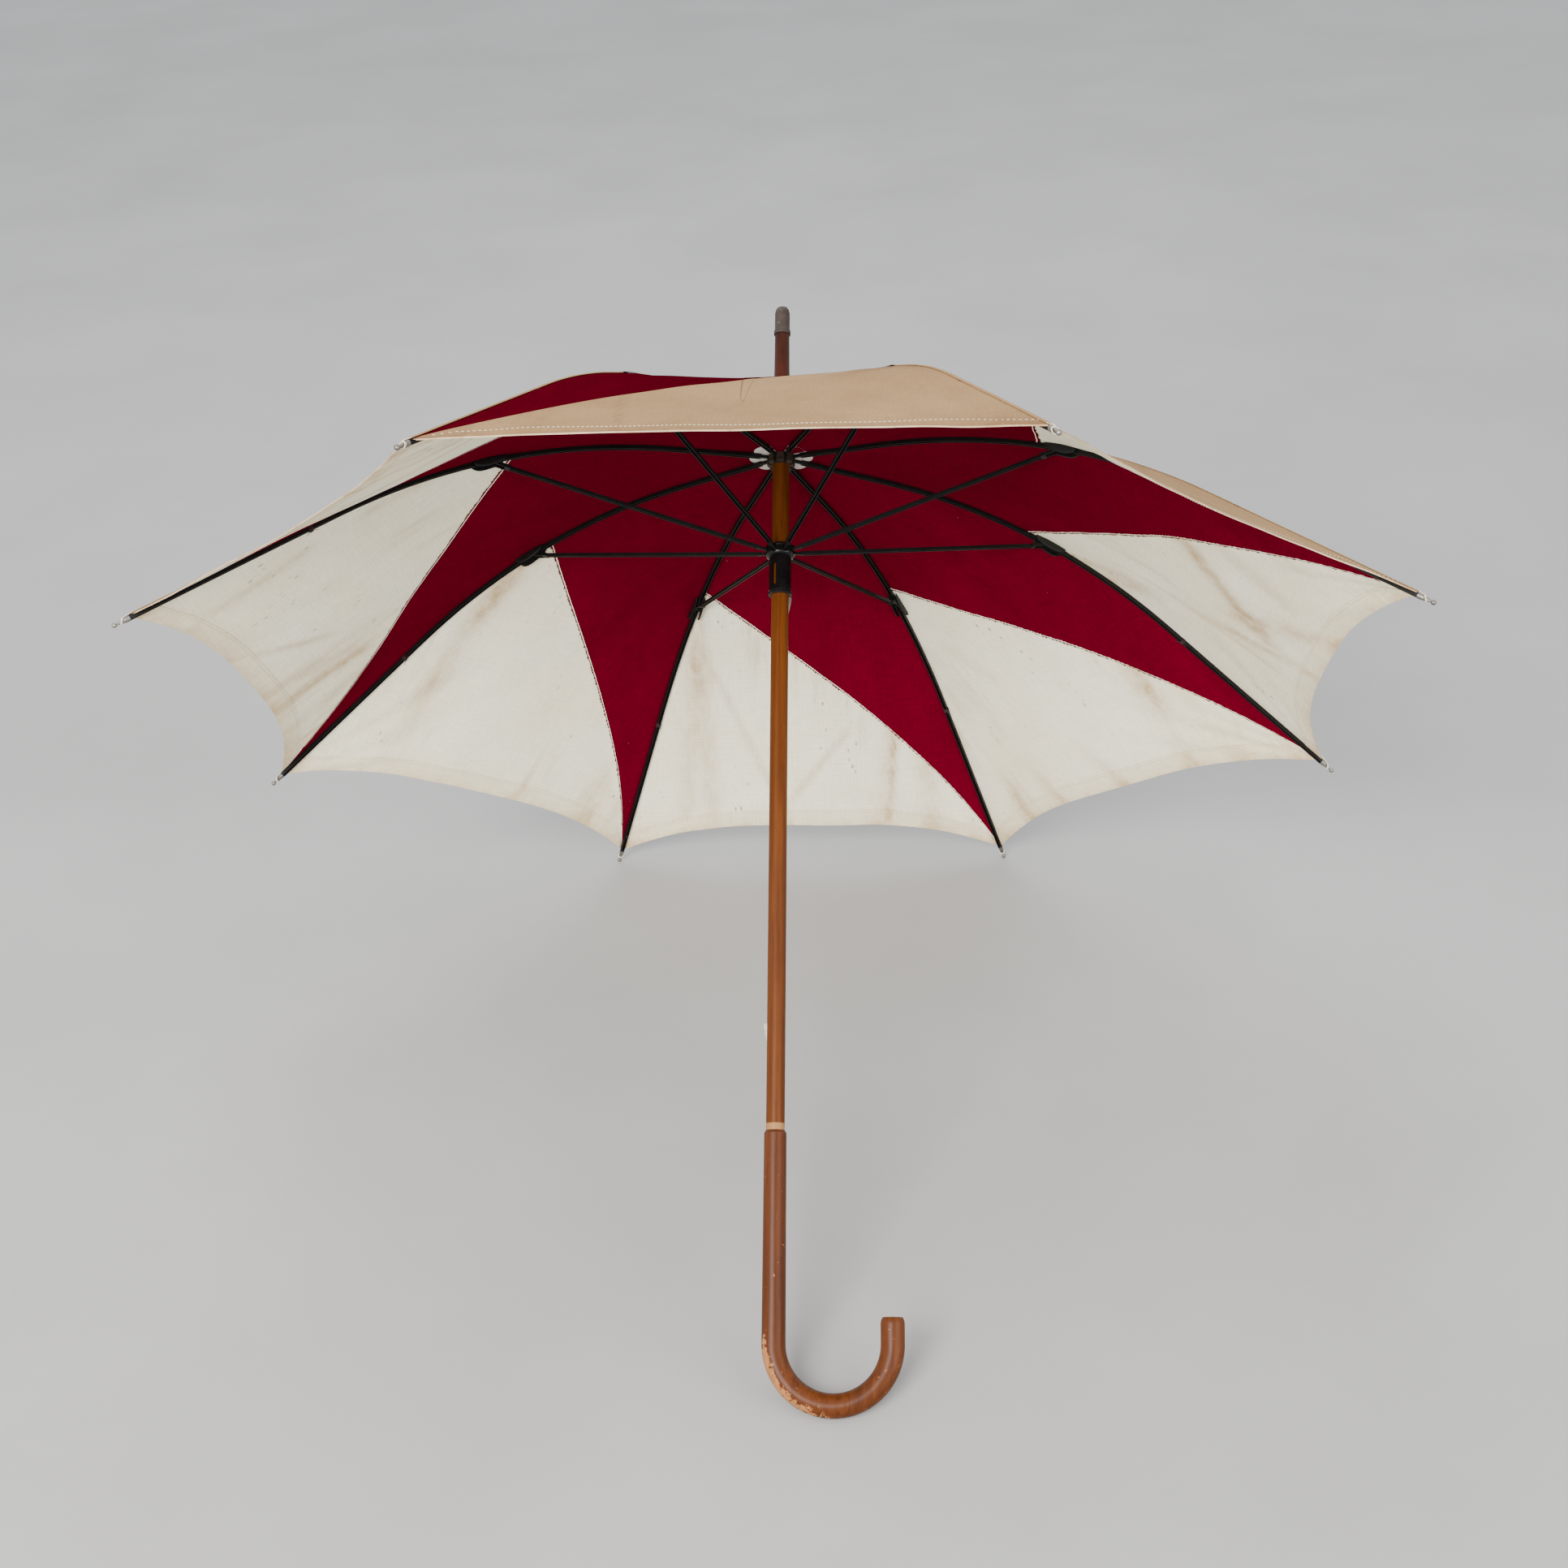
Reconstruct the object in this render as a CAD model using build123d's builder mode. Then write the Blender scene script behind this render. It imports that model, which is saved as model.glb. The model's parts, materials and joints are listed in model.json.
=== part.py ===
from build123d import *
import math
import os

# An open stick umbrella with a crook handle, lying on the floor on two rib tips and the bend of its crook.
# Row frame: +Z up from the floor, +X across the canopy, and the shaft leans up and back along +Y.
# "depth" is measured along the shaft from the crown notch's pivots towards the handle.

# ---- driving dimensions, in millimetres and degrees ----
rib_count = 8
tip_radius = 493.0  # from the shaft's axis to the end of a rib
tip_depth = 206.0
rib_root_slope = 4.5
rib_tip_slope = 36.0
rib_bend_radius = 510.0
rib_width = 3.6
rib_height = 3.2
rib_wall = 0.7
pivot_radius = 9.75  # of the ring of wire in the notch and in the runner
joint_radius = 240.0  # where a stretcher meets its rib
eye_radius = 1.7
eye_hole_radius = 0.95
eye_width = 2.0
wire_radius = 0.6
wire_clearance = 0.05
neck_length = 9.0
neck_thickness = 2.3

shaft_radius = 7.0
shaft_top_radius = 6.0
spike_length = 139.0
ferrule_length = 25.5
ferrule_lip = 4.0
ferrule_radius = 6.2
ferrule_bore = 5.0
plug_length = 5.0
plug_radius = 5.6
tenon_radius = 5.0
tenon_length = 25.0

handle_depth = 548.0  # where the shaft enters the handle
handle_top_radius = 8.35
handle_radius = 8.8
crook_depth = 701.0  # level of the crook's centre
crook_radius = 43.0
crook_tail = 14.0
tail_dome = 4.8  # from the tail's end sphere's centre to its flat end

notch_radius = 11.5
notch_top = -2.0
notch_bottom = 6.5
slot_width = 2.8
slot_floor = 7.9

runner_bore = 7.35
runner_radius = 9.0
ring_radius = 12.0
ring_half = 4.5
ring_flange = 1.6
ring_groove = 0.6
runner_skirt = 34.0
collar_length = 4.0
collar_radius = 9.4
window_width = 3.2
window_start = 12.0
window_length = 19.0
window_side = 29.0  # the window's angle from the shaft's upper side

link_width = 3.4
link_height = 2.8
ear_gap = 4.6
ear_thickness = 0.8
ear_radius = 2.4
rivet_radius = 1.1
rivet_head_radius = 1.7
rivet_head = 0.45
ear_length = 13.0
ear_bridge = 4.0

tip_sleeve = 9.0
tip_radius_at_rib = 2.3
ball_radius = 1.9
ball_reach = 12.0  # from the rib's end to the centre of its ball
tip_neck = 0.9
tip_hole = 0.7

patch_length = 22.0
patch_drop = 8.0
patch_gap = 8.0
patch_thickness = 0.6

rosette_radius = 26.0
outer_rosette_radius = 17.0
rosette_thickness = 0.5
rosette_lobe = 7.4

cloth_lift = 5.0  # from a rib's centre line to the underside of the cloth
cloth_thickness = 0.4
cloth_gap = 0.5  # between neighbouring cloth pieces
cloth_hole = 8.0
hem_station = 0.943  # of the tip radius, at the middle of a panel's hem
seam_station = 0.445  # of the tip radius, where a cream piece starts on its rib
seam_bow = 9.0

catch_slot_width = 2.6
catch_width = 1.8
catch_thickness = 1.2
catch_rise = 2.2
catch_ramp = 14.0
top_spring_length = 38.0
bottom_spring_length = 40.0
spring_clearance = 3.0
top_catch_depth = 122.5
bottom_catch_depth = 468.0

# ---- worked-out geometry ----
half_panel = 180.0 / rib_count


def sin(angle):
    return math.sin(math.radians(angle))


def cos(angle):
    return math.cos(math.radians(angle))


# a rib is a straight root, an arc and a straight outer end; the two straight lengths close on the tip
reach = tip_radius - pivot_radius - rib_bend_radius * (sin(rib_tip_slope) - sin(rib_root_slope))
drop = tip_depth - rib_bend_radius * (cos(rib_root_slope) - cos(rib_tip_slope))
rib_turn = rib_tip_slope - rib_root_slope
root_length = (reach * sin(rib_tip_slope) - drop * cos(rib_tip_slope)) / sin(rib_turn)
outer_length = (drop * cos(rib_root_slope) - reach * sin(rib_root_slope)) / sin(rib_turn)

bend_start = pivot_radius + root_length * cos(rib_root_slope)
joint_slope = math.degrees(
    math.asin(sin(rib_root_slope) + (joint_radius - bend_start) / rib_bend_radius)
)
joint_depth = root_length * sin(rib_root_slope) + rib_bend_radius * (
    cos(rib_root_slope) - cos(joint_slope)
)
# the stretcher is as long as the rib's inner arm, so the runner slides exactly along the shaft
link_length = math.hypot(joint_radius - pivot_radius, joint_depth)
runner_depth = 2 * joint_depth

ball_radius_out = tip_radius + ball_reach * cos(rib_tip_slope)
ball_depth = tip_depth + ball_reach * sin(rib_tip_slope)
ball_down = ball_radius_out * cos(half_panel)

# the shaft's angle to the floor, from the tips' and the crook's contact with it
bend_depth = crook_depth + crook_radius
run = bend_depth - ball_depth
lean = math.degrees(
    math.atan(ball_down / run) + math.asin((ball_radius - handle_radius) / math.hypot(run, ball_down))
)
crown_height = bend_depth * sin(lean) + handle_radius
front = -bend_depth * cos(lean) - handle_radius
back = ball_down * sin(lean) - ball_depth * cos(lean) + ball_radius
crown = Vector(0, -(front + back) / 2, crown_height)
shaft_up = Vector(0, cos(lean), sin(lean))
down_back = Vector(0, sin(lean), -cos(lean))
across = Vector(1, 0, 0)

shaft_frame = Plane(origin=crown, x_dir=across, z_dir=shaft_up)
shaft_axis = Axis(crown, shaft_up)
long_plane = Plane(origin=crown, x_dir=across, z_dir=down_back)  # local x, y = across, depth


def level(depth):
    """The plane across the shaft at a depth, facing the crown."""
    return shaft_frame.offset(-depth)


def rib_angle(i):
    """Rib i's angle from the downward direction towards +X."""
    return (i - (rib_count + 1) / 2 + 1) * 2 * half_panel


def radial(angle):
    return across * sin(angle) + down_back * cos(angle)


def rib_plane(angle):
    """The plane of a rib: local x, y = distance from the shaft's axis, depth."""
    out = radial(angle)
    return Plane(origin=crown, x_dir=out, z_dir=shaft_up.cross(out))


def line_plane(plane, start, slope):
    """A plane in a rib's plane whose local x runs along a sloping line from start."""
    return Plane(
        origin=plane.from_local_coords(start),
        x_dir=plane.x_dir * cos(slope) + plane.y_dir * sin(slope),
        z_dir=plane.z_dir,
    )


def across_plane(plane):
    """The plane square to another one's local x, which keeps its local y."""
    return Plane(origin=plane.origin, x_dir=-plane.z_dir, z_dir=plane.x_dir)


def save(shape, name):
    shape.label = name
    export_step(shape, f"parts/{name}.step")


def turned(points):
    """A closed profile of (radius, depth) points, turned about the shaft's axis."""
    with BuildPart() as solid:
        with BuildSketch(long_plane):
            with BuildLine():
                Polyline(*points, close=True)
            make_face()
        revolve(axis=shaft_axis)
    return solid.part


def wire_ring(depth, radius):
    with BuildPart() as ring:
        with BuildSketch(Plane(long_plane.from_local_coords((pivot_radius, depth)), across, down_back)):
            Circle(radius)
        revolve(axis=shaft_axis)
    return ring.part


def slots(depth, start, length):
    """One radial slot for each rib, cut down from a start level."""
    with BuildPart() as cut:
        with BuildSketch(level(depth + start)):
            for i in range(1, rib_count + 1):
                angle = 90 - rib_angle(i)
                middle = slot_floor + ring_radius / 2
                with Locations(Location((middle * cos(angle), middle * sin(angle)), angle)):
                    Rectangle(ring_radius, slot_width)
        extrude(amount=-length)
    return cut.part


# ---- the stick ----
def make_shaft():
    wood_end = -spike_length + plug_length + 3
    seat = -spike_length + ferrule_length
    with BuildPart() as shaft:
        add(
            turned(
                [
                    (0, wood_end),
                    (ferrule_bore, wood_end),
                    (ferrule_bore, seat),
                    (shaft_top_radius, seat),
                    (shaft_radius, -12),
                    (shaft_radius, handle_depth),
                    (tenon_radius, handle_depth),
                    (tenon_radius, handle_depth + tenon_length),
                    (0, handle_depth + tenon_length),
                ]
            )
        )
        for side, depth, spring in (
            (1, top_catch_depth, top_spring_length),
            (-1, bottom_catch_depth, bottom_spring_length),
        ):
            with BuildSketch(long_plane):
                with Locations((side * (shaft_radius / 2 + 2), depth + spring / 2)):
                    Rectangle(shaft_radius + 1, spring + 2 * spring_clearance)
            extrude(amount=catch_slot_width / 2, both=True, mode=Mode.SUBTRACT)
    save(shaft.part, "shaft")


def make_catch(name, side, depth, spring):
    """A flat spring in the shaft's slot, with a ramped catch that stands proud of the wood."""
    proud = shaft_radius + catch_rise
    inner = shaft_radius - catch_thickness
    root_depth = depth + spring
    with BuildPart() as catch:
        with BuildSketch(long_plane):
            with BuildLine():
                Polyline(
                    (side * inner, depth),
                    (side * proud, depth),
                    (side * proud, depth + 3),
                    (side * (shaft_radius - 0.2), depth + catch_ramp),
                    (side * (shaft_radius - 0.6), root_depth),
                    (side * (shaft_radius - 4), root_depth),
                    (side * (shaft_radius - 4), root_depth - catch_thickness),
                    (side * (inner - 0.4), root_depth - catch_thickness),
                    (side * inner, depth + catch_ramp),
                    close=True,
                )
            make_face()
        extrude(amount=catch_width / 2, both=True)
    save(catch.part, name)


def make_handle():
    bend_start_plane = Plane(
        long_plane.from_local_coords((0, crook_depth)), x_dir=across, z_dir=-shaft_up
    )
    with BuildPart() as crook:
        add(
            turned(
                [
                    (tenon_radius, handle_depth),
                    (handle_top_radius - 1.1, handle_depth),
                    (handle_top_radius, handle_depth + 2),
                    (handle_radius, crook_depth),
                    (0, crook_depth),
                    (0, handle_depth + tenon_length),
                    (tenon_radius, handle_depth + tenon_length),
                ]
            )
        )
        with BuildLine(long_plane):
            bend = JernArc((0, crook_depth), (0, 1), crook_radius, -180)
            tail = PolarLine((2 * crook_radius, crook_depth), crook_tail, -90)
        with BuildSketch(bend_start_plane):
            Circle(handle_radius)
        sweep(path=Wire([bend.edge(), tail.edge()]))
        with Locations(long_plane.from_local_coords((2 * crook_radius, crook_depth - crook_tail))):
            Sphere(handle_radius)
        with BuildSketch(level(crook_depth - crook_tail - tail_dome)):
            with Locations((2 * crook_radius, 0)):
                Circle(handle_radius)
        extrude(amount=handle_radius, mode=Mode.SUBTRACT)
    save(crook.part, "crook_handle")


def make_ferrule():
    start = -spike_length + ferrule_length
    end = -spike_length + plug_length
    ferrule = turned(
        [
            (ferrule_bore, start),
            (ferrule_radius + 0.5, start),
            (ferrule_radius + 0.7, start - 0.6),
            (ferrule_radius + 0.7, start - ferrule_lip + 0.6),
            (ferrule_radius + 0.5, start - ferrule_lip),
            (ferrule_radius, start - ferrule_lip),
            (ferrule_radius, end),
            (ferrule_bore, end),
        ]
    )
    save(ferrule, "ferrule")
    plug = turned(
        [
            (0, end + 3),
            (ferrule_bore, end + 3),
            (ferrule_bore, end),
            (plug_radius, end),
            (plug_radius, end - plug_length * 0.5),
            (plug_radius * 0.8, end - plug_length * 0.85),
            (plug_radius * 0.45, end - plug_length),
            (0, end - plug_length),
        ]
    )
    save(plug, "ferrule_plug")


# ---- crown ----
def make_notch():
    with BuildPart() as notch:
        add(
            turned(
                [
                    (shaft_radius, notch_top),
                    (notch_radius - 0.8, notch_top),
                    (notch_radius, notch_top + 0.8),
                    (notch_radius, notch_bottom - 1),
                    (notch_radius - 1.5, notch_bottom),
                    (shaft_radius, notch_bottom),
                ]
            )
        )
        add(slots(0, notch_top - 1, notch_bottom - notch_top + 2), mode=Mode.SUBTRACT)
        add(wire_ring(0, wire_radius + wire_clearance), mode=Mode.SUBTRACT)
    save(notch.part, "top_notch")
    save(wire_ring(0, wire_radius), "notch_wire")


def scalloped_disc(depth, radius, lobe):
    """A thin cloth disc with one rounded lobe for each rib."""
    with BuildPart() as disc:
        with BuildSketch(level(depth)):
            Circle(radius - lobe * 0.75)
            with PolarLocations(radius - lobe, rib_count, 90 + half_panel):
                Circle(lobe)
            Circle(shaft_radius + 0.3, mode=Mode.SUBTRACT)
        extrude(amount=rosette_thickness)
    return disc.part


def make_rosettes():
    inner = scalloped_disc(notch_top - 0.1, rosette_radius, rosette_lobe)
    outer_depth = -cloth_lift - cloth_thickness - 0.1
    outer = scalloped_disc(outer_depth, outer_rosette_radius, rosette_lobe * 0.7)
    save(Compound(children=[inner, outer]), "rosettes")


# ---- ribs ----
def make_rib(i):
    plane = rib_plane(rib_angle(i))
    root = line_plane(plane, (pivot_radius, 0), rib_root_slope)
    section = across_plane(line_plane(root, (neck_length - 1, 0), 0))
    with BuildPart() as rib:
        with BuildLine(plane):
            start = (
                pivot_radius + (neck_length - 1) * cos(rib_root_slope),
                (neck_length - 1) * sin(rib_root_slope),
            )
            bend_begin = (bend_start, root_length * sin(rib_root_slope))
            first = Line(start, bend_begin)
            tangent = (cos(rib_root_slope), sin(rib_root_slope))
            curve = JernArc(bend_begin, tangent, rib_bend_radius, rib_turn)
            last = Line(curve @ 1, plane.from_local_coords((tip_radius, tip_depth)))
        with BuildSketch(section):
            Rectangle(rib_width, rib_height)
            with Locations((0, rib_wall)):
                Rectangle(rib_width - 2 * rib_wall, rib_height, mode=Mode.SUBTRACT)
        sweep(path=Wire([first.edge(), curve.edge(), last.edge()]))
        with BuildSketch(root):
            Circle(eye_radius)
            with Locations((neck_length / 2, 0)):
                Rectangle(neck_length, neck_thickness)
        extrude(amount=eye_width / 2, both=True)
        with BuildSketch(root):
            with Locations((neck_length - 0.5, 0)):
                Rectangle(1.5, rib_height)
        extrude(amount=rib_width / 2, both=True)
        with BuildSketch(root):
            Circle(eye_hole_radius)
        extrude(amount=rib_width, both=True, mode=Mode.SUBTRACT)
        with BuildSketch(line_plane(plane, (joint_radius, joint_depth), 0)):
            Circle(rivet_radius + 0.3)
        extrude(amount=rib_width, both=True, mode=Mode.SUBTRACT)
    save(rib.part, f"rib_{i}")


def make_rib_tip(i):
    plane = line_plane(rib_plane(rib_angle(i)), (tip_radius, tip_depth), rib_tip_slope)
    axis = Axis(plane.origin, plane.x_dir)
    ball_start = ball_reach - math.sqrt(ball_radius**2 - tip_neck**2)
    ball_end = ball_reach + ball_radius
    with BuildPart() as tip:
        with BuildSketch(plane):
            with BuildLine():
                Polyline(
                    (ball_end, 0),
                    (0, 0),
                    (0, tip_radius_at_rib),
                    (tip_sleeve / 3, tip_radius_at_rib - 0.2),
                    (tip_sleeve, tip_neck + 0.1),
                    (ball_start, tip_neck),
                )
                ThreePointArc((ball_start, tip_neck), (ball_reach, ball_radius), (ball_end, 0))
            make_face()
        revolve(axis=axis)
        with BuildSketch(plane):
            with Locations((tip_sleeve * 0.6, 0)):
                Circle(tip_hole)
        extrude(amount=4, both=True, mode=Mode.SUBTRACT)
    save(tip.part, f"rib_tip_{i}")


def make_joint_patch(i):
    """A small saddle over the rib that keeps its rivet off the cloth."""
    plane = line_plane(rib_plane(rib_angle(i)), (joint_radius, joint_depth), joint_slope)
    top = -ear_radius - 0.3 - patch_thickness
    middle = (top + patch_drop) / 2
    with BuildPart() as patch:
        with BuildSketch(across_plane(plane)):
            with Locations((0, middle)):
                Rectangle(patch_gap + 2 * patch_thickness, patch_drop - top)
            with Locations((0, middle + patch_thickness)):
                Rectangle(patch_gap, patch_drop - top, mode=Mode.SUBTRACT)
        extrude(amount=patch_length / 2, both=True)
    save(patch.part, f"joint_patch_{i}")


# ---- stretchers ----
def make_stretcher(i):
    slope = 180 - math.degrees(math.atan2(runner_depth - joint_depth, joint_radius - pivot_radius))
    plane = line_plane(rib_plane(rib_angle(i)), (joint_radius, joint_depth), slope)
    with BuildPart() as link:
        with BuildSketch(plane):
            Circle(ear_radius)
            with Locations(((ear_length + ear_bridge) / 2, 0)):
                Rectangle(ear_length + ear_bridge, link_height)
        extrude(amount=ear_gap / 2 + ear_thickness, both=True)
        with BuildSketch(plane):
            with Locations((ear_length / 2 - ear_radius, 0)):
                Rectangle(ear_length + 2 * ear_radius, 3 * ear_radius)
        extrude(amount=ear_gap / 2, both=True, mode=Mode.SUBTRACT)
        with BuildSketch(across_plane(line_plane(plane, (ear_length + 1, 0), 0))):
            Rectangle(link_width, link_height)
            with Locations((0, -rib_wall)):
                Rectangle(link_width - 2 * rib_wall, link_height, mode=Mode.SUBTRACT)
        extrude(amount=link_length - neck_length - ear_length)
        with BuildSketch(plane):
            with Locations((link_length, 0)):
                Circle(eye_radius)
            with Locations((link_length - (neck_length + 1) / 2, 0)):
                Rectangle(neck_length + 1, neck_thickness)
        extrude(amount=eye_width / 2, both=True)
        with BuildSketch(plane):
            with Locations((link_length - neck_length + 0.5, 0)):
                Rectangle(1.5, link_height)
        extrude(amount=link_width / 2, both=True)
        with BuildSketch(plane):
            Circle(rivet_radius)
            with Locations((link_length, 0)):
                Circle(eye_hole_radius)
        extrude(amount=3 * eye_width, both=True, mode=Mode.SUBTRACT)
    ear_face = ear_gap / 2 + ear_thickness
    with BuildPart() as rivet:
        with BuildSketch(plane):
            Circle(rivet_radius)
        extrude(amount=ear_face, both=True)
        for side in (1, -1):
            with BuildSketch(plane.offset(side * ear_face)):
                Circle(rivet_head_radius)
            extrude(amount=side * rivet_head)
    save(Compound(children=[link.part, rivet.part]), f"stretcher_{i}")


# ---- runner ----
def make_runner():
    ring_top = runner_depth - ring_half
    shoulder = runner_depth + ring_half + 0.8
    skirt_end = runner_depth + runner_skirt
    with BuildPart() as runner:
        add(
            turned(
                [
                    (runner_bore, ring_top),
                    (ring_radius - 0.6, ring_top),
                    (ring_radius, ring_top + 0.6),
                    (ring_radius, ring_top + ring_flange),
                    (ring_radius - ring_groove, ring_top + ring_flange + ring_groove),
                    (ring_radius, ring_top + ring_flange + 2 * ring_groove),
                    (ring_radius, shoulder - 2.4),
                    (ring_radius - 0.6, shoulder - 1.2),
                    (ring_radius - 1.6, shoulder - 0.4),
                    (runner_radius, shoulder),
                    (runner_radius, skirt_end),
                    (runner_bore, skirt_end),
                ]
            )
        )
        add(slots(runner_depth, -ring_half - 1, 2 * ring_half), mode=Mode.SUBTRACT)
        add(wire_ring(runner_depth, wire_radius + wire_clearance), mode=Mode.SUBTRACT)
        facing = -across * sin(window_side) - down_back * cos(window_side)
        with BuildSketch(Plane(crown, x_dir=shaft_up.cross(facing), z_dir=facing)):
            with Locations((0, -(runner_depth + window_start + window_length / 2))):
                SlotOverall(window_length, window_width, rotation=90)
        extrude(amount=2 * runner_radius, mode=Mode.SUBTRACT)
    save(runner.part, "runner")
    save(wire_ring(runner_depth, wire_radius), "runner_wire")
    collar = turned(
        [
            (runner_bore, skirt_end),
            (collar_radius - 0.4, skirt_end),
            (collar_radius, skirt_end + 0.5),
            (collar_radius, skirt_end + collar_length - 0.5),
            (collar_radius - 0.4, skirt_end + collar_length),
            (runner_bore, skirt_end + collar_length),
        ]
    )
    save(collar, "runner_collar")


# ---- canopy ----
def panel_shell(angle):
    """The thin band of cloth between two ribs, curved one way like the ribs and straight across."""
    squeeze = cos(half_panel)
    plane = rib_plane(angle)
    root = math.degrees(math.atan2(sin(rib_root_slope), cos(rib_root_slope) * squeeze))
    outer = math.degrees(math.atan2(sin(rib_tip_slope), cos(rib_tip_slope) * squeeze))
    # the corner where the two straight stretches would meet, moved in towards the panel's middle
    tangent_length = rib_bend_radius * math.tan(math.radians(rib_turn / 2))
    corner_x = (bend_start + tangent_length * cos(rib_root_slope)) * squeeze
    corner_y = (root_length + tangent_length) * sin(rib_root_slope) - cloth_lift
    side = tangent_length * squeeze * 1.025
    radius = side / math.tan(math.radians((outer - root) / 2))
    begin = (corner_x - side * cos(root), corner_y - side * sin(root))
    inner_run = begin[0] / cos(root) * 0.99
    outer_run = (outer_length + 4 * ball_reach) * squeeze
    with BuildPart() as shell:
        with BuildSketch(plane):
            with BuildLine():
                low_start = Vector(begin[0] - inner_run * cos(root), begin[1] - inner_run * sin(root))
                Line(low_start, begin)
                bow = JernArc(begin, (cos(root), sin(root)), radius, outer - root)
                low_end = Vector(bow @ 1) + Vector(cos(outer), sin(outer)) * outer_run
                Line(bow @ 1, low_end)
                rise = Vector(sin(root), -cos(root)) * cloth_thickness
                top_start = low_start + rise
                top_begin = Vector(*begin) + rise
                Line(low_start, top_start)
                Line(top_start, top_begin)
                top_bow = JernArc(top_begin, (cos(root), sin(root)), radius + cloth_thickness, outer - root)
                top_end = Vector(top_bow @ 1) + Vector(cos(outer), sin(outer)) * outer_run
                Line(top_bow @ 1, top_end)
                Line(top_end, low_end)
            make_face()
        extrude(amount=tip_radius * sin(half_panel) + 5, both=True)
    return shell.part


def panel_points():
    """Corners of a panel seen along the shaft, in its own frame: x outwards along its middle, y across."""
    inset = cloth_gap / 2 / cos(half_panel)
    tip = (tip_radius * cos(half_panel), tip_radius * sin(half_panel) - inset)
    seam = (tip[0] * seam_station, tip_radius * sin(half_panel) * seam_station - inset)
    return tip, seam


def make_panel(i):
    angle = rib_angle(i) + half_panel
    shell = panel_shell(angle)
    frame = Plane(origin=crown, x_dir=radial(angle), z_dir=-shaft_up)
    tip, seam = panel_points()
    hub = cloth_hole
    gap = cloth_gap / 2
    middle = ((tip[0] + seam[0]) / 2 - seam_bow * 0.7, (tip[1] - seam[1]) / 2 + seam_bow * 0.7)
    for name, cream in (("gore_cream", True), ("gore_red", False)):
        shift = gap if cream else -gap
        start = (seam[0] + shift, -seam[1])
        through = (middle[0] + shift, middle[1])
        end = (tip[0] + shift, tip[1])
        with BuildPart() as piece:
            add(shell)
            with BuildSketch(frame):
                with BuildLine():
                    ThreePointArc(start, through, end)
                    if cream:
                        far = (tip[0] + gap, -tip[1])
                        Line(start, far)
                        ThreePointArc(far, (tip[0] * hem_station, 0), (end[0], end[1]))
                    else:
                        Line(end, (hub, hub * sin(half_panel)))
                        Line((hub, hub * sin(half_panel)), (hub, -hub * sin(half_panel)))
                        Line((hub, -hub * sin(half_panel)), start)
                make_face()
            extrude(amount=tip_depth * 1.5, both=True, mode=Mode.INTERSECT)
        save(piece.part, f"{name}_{i}")


os.makedirs("parts", exist_ok=True)
make_shaft()
make_catch("top_spring", 1, top_catch_depth, top_spring_length)
make_catch("bottom_spring", -1, bottom_catch_depth, bottom_spring_length)
make_handle()
make_ferrule()
make_notch()
make_rosettes()
make_runner()
for number in range(1, rib_count + 1):
    make_rib(number)
    make_rib_tip(number)
    make_joint_patch(number)
    make_stretcher(number)
    make_panel(number)
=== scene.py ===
import json
import math

import bpy
import numpy as np
from mathutils import Matrix, Vector, noise


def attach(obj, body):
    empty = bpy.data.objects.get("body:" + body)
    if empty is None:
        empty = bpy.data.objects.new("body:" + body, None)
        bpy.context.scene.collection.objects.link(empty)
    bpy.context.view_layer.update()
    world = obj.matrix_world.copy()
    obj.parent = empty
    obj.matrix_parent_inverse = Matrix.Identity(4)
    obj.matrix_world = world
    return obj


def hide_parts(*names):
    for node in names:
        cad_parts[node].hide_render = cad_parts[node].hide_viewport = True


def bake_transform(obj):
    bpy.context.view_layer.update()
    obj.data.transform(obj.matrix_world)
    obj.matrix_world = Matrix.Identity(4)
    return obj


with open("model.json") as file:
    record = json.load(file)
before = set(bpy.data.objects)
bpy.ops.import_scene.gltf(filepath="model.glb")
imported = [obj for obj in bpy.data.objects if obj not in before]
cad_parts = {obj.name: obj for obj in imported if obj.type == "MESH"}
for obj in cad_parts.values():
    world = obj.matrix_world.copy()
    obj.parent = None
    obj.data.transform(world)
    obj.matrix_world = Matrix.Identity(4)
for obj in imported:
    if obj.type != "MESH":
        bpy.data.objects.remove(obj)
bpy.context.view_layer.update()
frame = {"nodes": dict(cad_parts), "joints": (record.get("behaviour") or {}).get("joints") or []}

# ---- what the frame says about the umbrella ----
JOINTS = {j["name"]: j for j in frame["joints"]}
RIBS = 8
HALF = math.pi / RIBS


def vec(values):
    return np.array(values, float)


hinges = [vec(JOINTS[f"rib_fold_{i}"]["pos_m"]) for i in range(1, RIBS + 1)]
CROWN = sum(hinges) / RIBS
OUT = [(h - CROWN) / np.linalg.norm(h - CROWN) for h in hinges]
TURN = [vec(JOINTS[f"rib_fold_{i}"]["axis"]) for i in range(1, RIBS + 1)]
UP = np.cross(OUT[0], TURN[0])
LEAN = math.atan2(UP[2], UP[1])
PIVOT_R = float(np.linalg.norm(hinges[0] - CROWN))
FOLD = math.radians(JOINTS["rib_fold_1"]["range_deg"][1])  # closed
FALL = math.radians(JOINTS["cream_fall_1"]["range_deg"][1])

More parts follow.
